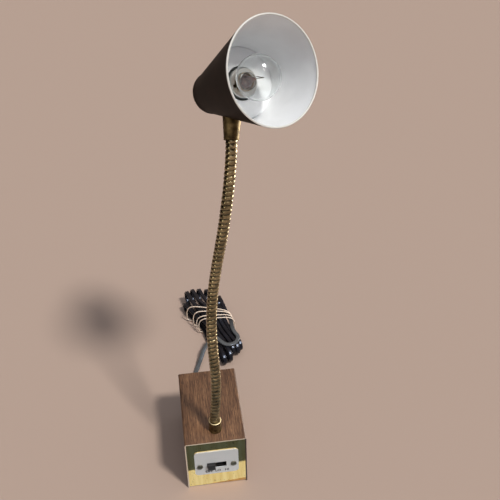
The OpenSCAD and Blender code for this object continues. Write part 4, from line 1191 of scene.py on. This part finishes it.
class LAMP_OT_base(bpy.types.Operator):
    """Wood-grained wrap, brass front, switch with its plate, and all hardware"""

    bl_idname = "lamp.base"
    bl_label = "Base and switch"

    def execute(self, context):
        look = context.scene.lamp_base
        paint_nodes(self.walnut(look), "base_wrap")
        paint_nodes(self.polished_brass(), "front_panel")
        paint_nodes(self.satin_plate(), "switch_plate")
        # Hammer enamel: dark grey, half glossy, mottled
        paint_nodes(moulding("grey hammer enamel", "3C3D3F", 0.4, 0.5), "rear_panel")
        # Rubber: black and dull
        paint_nodes(moulding("moulded rubber pad", "161616", 0.75, 1.0), "foot_pad")
        # Phenolic: warm black, half glossy from its mould
        paint_nodes(moulding("black phenolic moulding", "211F21", 0.4, 0.9), "switch_body", "switch_slider")
        # Vinyl insulation: black, half glossy
        paint_nodes(moulding("black wire insulation", "202023", 0.4, 0.8), "base_leads")
        # Sheet iron under varnish: blue black, finely mottled
        paint_nodes(moulding("varnished core laminations", "2A2A30", 0.4, 2.5), "transformer_core")
        # Enamelled copper wire: orange brown with a fine sheen
        paint_nodes(plain_metal("enamelled copper winding", "A85A2C", 0.35, 3.0), "transformer_coil")
        # Zinc plating: pale grey and bright
        paint_nodes(
            plain_metal("zinc plated steel", "A9ABAC", 0.32, 0.9),
            "chassis_screws", "strap_screws", "contact_spring",
        )
        # Nickel plating painted a dark warm grey: painted shade of the recessed heads
        paint_nodes(plain_metal("nickel screw in painted shade", "8C8779", 0.3, 1.4), "plate_screws")
        # Galvanised sheet: cool grey, satin
        paint_nodes(
            plain_metal("galvanised sheet steel", "8B8E91", 0.42, 0.4),
            "bottom_plate", "transformer_strap", "neck_washer",
        )
        # Turned brass: yellow, bright
        paint_nodes(
            plain_metal("turned brass", "B8954E", 0.3, 0.8),
            "switch_terminals", "neck_nipple", "neck_nut", "head_nipple", "head_nut", "socket_contact",
            "plug_blades",
        )
        self.letters(look)
        return {"FINISHED"}

    def walnut(self, look):
        # Printed walnut film on steel: long grain along Y, dark pores, and a bare light edge at the front cut
        material, tree, shader = new_material("walnut grain film", Roughness=0.4, IOR=1.5)
        grain = add(tree, "ShaderNodeTexNoise", {
            "Vector": object_place(tree, (1.15, 0.045, 1.15)), "Scale": 1.0, "Detail": 6.0,
            "Roughness": 0.6, "Distortion": 0.25,
        })
        fine, broad = object_place(tree, (1.9, 0.16, 1.9)), object_place(tree, (0.09, 0.012, 0.09))
        pores = add(tree, "ShaderNodeTexNoise", {"Vector": fine, "Scale": 1.0, "Detail": 3.0})
        figure = add(tree, "ShaderNodeTexNoise", {"Vector": broad, "Scale": 1.0, "Detail": 2.0})
        dark, light = look.dark_wood, look.light_wood
        wood = add(tree, "ShaderNodeValToRGB", {"Fac": grain}, stops=[
            (0.3, lit(dark, 0.9)), (0.44, lit(dark, 1.9)), (0.56, lit(light, 0.95)), (0.7, lit(light, 1.6)),
        ])
        shade = add(tree, "ShaderNodeValToRGB", {"Fac": figure}, stops=[(0.35, "C9C4C0"), (0.65, "FFFFFF")])
        toned = add(
            tree, "ShaderNodeMix", {"Factor": 1.0, "A": wood, "B": shade}, data_type="RGBA",
            blend_type="MULTIPLY",
        )
        pore = add(tree, "ShaderNodeMapRange", {
            "Value": pores, "From Min": 0.40, "From Max": 0.47, "To Min": 0.6, "To Max": 0.0,
        })
        pored = add(
            tree, "ShaderNodeMix", {"Factor": pore, "A": toned, "B": linear("36241B")}, data_type="RGBA"
        )
        # The sheet's cut edge at the front is light along the top and the left side, and dark on the right
        # side, which starts 28.4 to 28.8 mm from the middle
        place = add(tree, "ShaderNodeSeparateXYZ", {"Vector": object_place(tree)}).outputs
        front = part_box("base_wrap")[0][1] / MM + 0.03
        right = add(tree, "ShaderNodeMapRange", {"Value": place["X"], "From Min": 28.4, "From Max": 28.8})
        cut = add(
            tree, "ShaderNodeMix", {"Factor": right, "A": linear("D8C9B4"), "B": linear("41332A")},
            data_type="RGBA",
        )
        edge = add(tree, "ShaderNodeMath", {0: place["Y"], 1: front}, operation="LESS_THAN")
        final = add(tree, "ShaderNodeMix", {"Factor": edge, "A": pored, "B": cut}, data_type="RGBA")
        wire(shader, {"Base Color": final})
        rough_and_bump(tree, shader, pores, 0.36, 0.5, 0.06 * MM)
        return material

    def polished_brass(self):
        # Polished brass plate: mirror bright, lacquer pitted by age, so dark specks and a faint upright grain
        material, tree, shader = new_material("polished brass plate", Metallic=1.0, Roughness=0.08)
        specks = add(tree, "ShaderNodeTexNoise", {
            "Vector": object_place(tree), "Scale": 0.5, "Detail": 3.0, "Roughness": 0.6,
        })
        streaks = object_place(tree, (0.2, 0.2, 0.02))
        cloud = add(tree, "ShaderNodeTexNoise", {"Vector": streaks, "Scale": 1.0, "Detail": 4.0})
        spot = add(tree, "ShaderNodeMapRange", {"Value": specks, "From Min": 0.66, "From Max": 0.69})
        tone = add(tree, "ShaderNodeValToRGB", {"Fac": cloud}, stops=[(0.35, "E2C27C"), (0.6, "F0D798")])
        pit = linear("5A4420")
        wire(shader, {
            "Base Color": add(tree, "ShaderNodeMix", {"Factor": spot, "A": tone, "B": pit}, data_type="RGBA")
        })
        rough_and_bump(tree, shader, specks, 0.02, 0.12, 0.004 * MM)
        return material

    def satin_plate(self):
        # Satin anodised aluminium: pale grey, brushed along the plate
        material, tree, shader = new_material(
            "satin anodised aluminium", Metallic=0.1, Roughness=0.42, Base_Color=linear("D4D9DC")
        )
        brushed = object_place(tree, (0.15, 3.0, 3.0))
        marks = add(tree, "ShaderNodeTexNoise", {"Vector": brushed, "Scale": 1.0, "Detail": 4.0})
        rough_and_bump(tree, shader, marks, 0.34, 0.5, 0.02 * MM)
        return material

    def letters(self, look):
        """Plain words for the switch's three places, printed under its slot."""
        # Printing ink: black, half glossy
        ink = moulding("black printing ink", "1C1D1F", 0.5, 3.0)
        size, swell, ink_depth, sunk = look.letter_height * 1.36, 0.12 * MM, 0.03 * MM, 0.02 * MM
        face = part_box("switch_plate")[0][1]
        bm = bmesh.new()
        for word, x in ((look.first, -7.9), ("LO", 0.9), ("HI", 9.9)):
            curve = bpy.data.curves.new(word, "FONT")
            curve.body, curve.size, curve.align_x = word, size, "CENTER"
            curve.extrude, curve.offset = ink_depth, swell
            text = bpy.data.objects.new(word, curve)
            bpy.context.scene.collection.objects.link(text)
            bpy.context.view_layer.update()
            depsgraph = bpy.context.evaluated_depsgraph_get()
            flat = bpy.data.meshes.new_from_object(text.evaluated_get(depsgraph))
            bpy.data.objects.remove(text)
            place = Matrix.Translation((x * MM, face - sunk, look.letter_line))
            flat.transform(place @ Matrix.Rotation(QUARTER, 4, "X"))
            bm.from_mesh(flat)
            bpy.data.meshes.remove(flat)
        bmesh.ops.remove_doubles(bm, verts=bm.verts, dist=1e-7)
        finish_piece("switch_words", bm, [ink], "base", sharp=30)


class LAMP_PT_pieces(bpy.types.Panel):
    """Lists the pieces of the desk lamp"""

    bl_idname = "LAMP_PT_pieces"
    bl_label = "Desk Lamp"
    bl_space_type = "VIEW_3D"
    bl_region_type = "UI"
    bl_category = "Desk Lamp"

    def draw(self, context):
        for operator, settings in STEPS:
            box = self.layout.box()
            box.operator(operator.bl_idname)
            group = getattr(context.scene, settings)
            for name in group.__annotations__:
                box.prop(group, name)


STEPS = (
    (LAMP_OT_stage, "lamp_stage"),
    (LAMP_OT_cord, "lamp_cord"),
    (LAMP_OT_neck, "lamp_neck"),
    (LAMP_OT_shade, "lamp_shade"),
    (LAMP_OT_bulb, "lamp_bulb"),
    (LAMP_OT_base, "lamp_base"),
)
SETTINGS = {
    "lamp_stage": LampStageSettings,
    "lamp_cord": LampCordSettings,
    "lamp_neck": LampNeckSettings,
    "lamp_shade": LampShadeSettings,
    "lamp_bulb": LampBulbSettings,
    "lamp_base": LampBaseSettings,
}
CLASSES = (*SETTINGS.values(), *(operator for operator, _ in STEPS), LAMP_PT_pieces)


def register():
    for cls in CLASSES:
        bpy.utils.register_class(cls)
    for name, group in SETTINGS.items():
        setattr(bpy.types.Scene, name, PointerProperty(type=group))


def unregister():
    for name in SETTINGS:
        delattr(bpy.types.Scene, name)
    for cls in reversed(CLASSES):
        bpy.utils.unregister_class(cls)


def main():
    register()
    bpy.ops.lamp.stage()
    bpy.ops.lamp.cord()
    bpy.ops.lamp.neck()
    bpy.ops.lamp.shade()
    bpy.ops.lamp.bulb()
    bpy.ops.lamp.base()


if __name__ == "__main__":
    main()
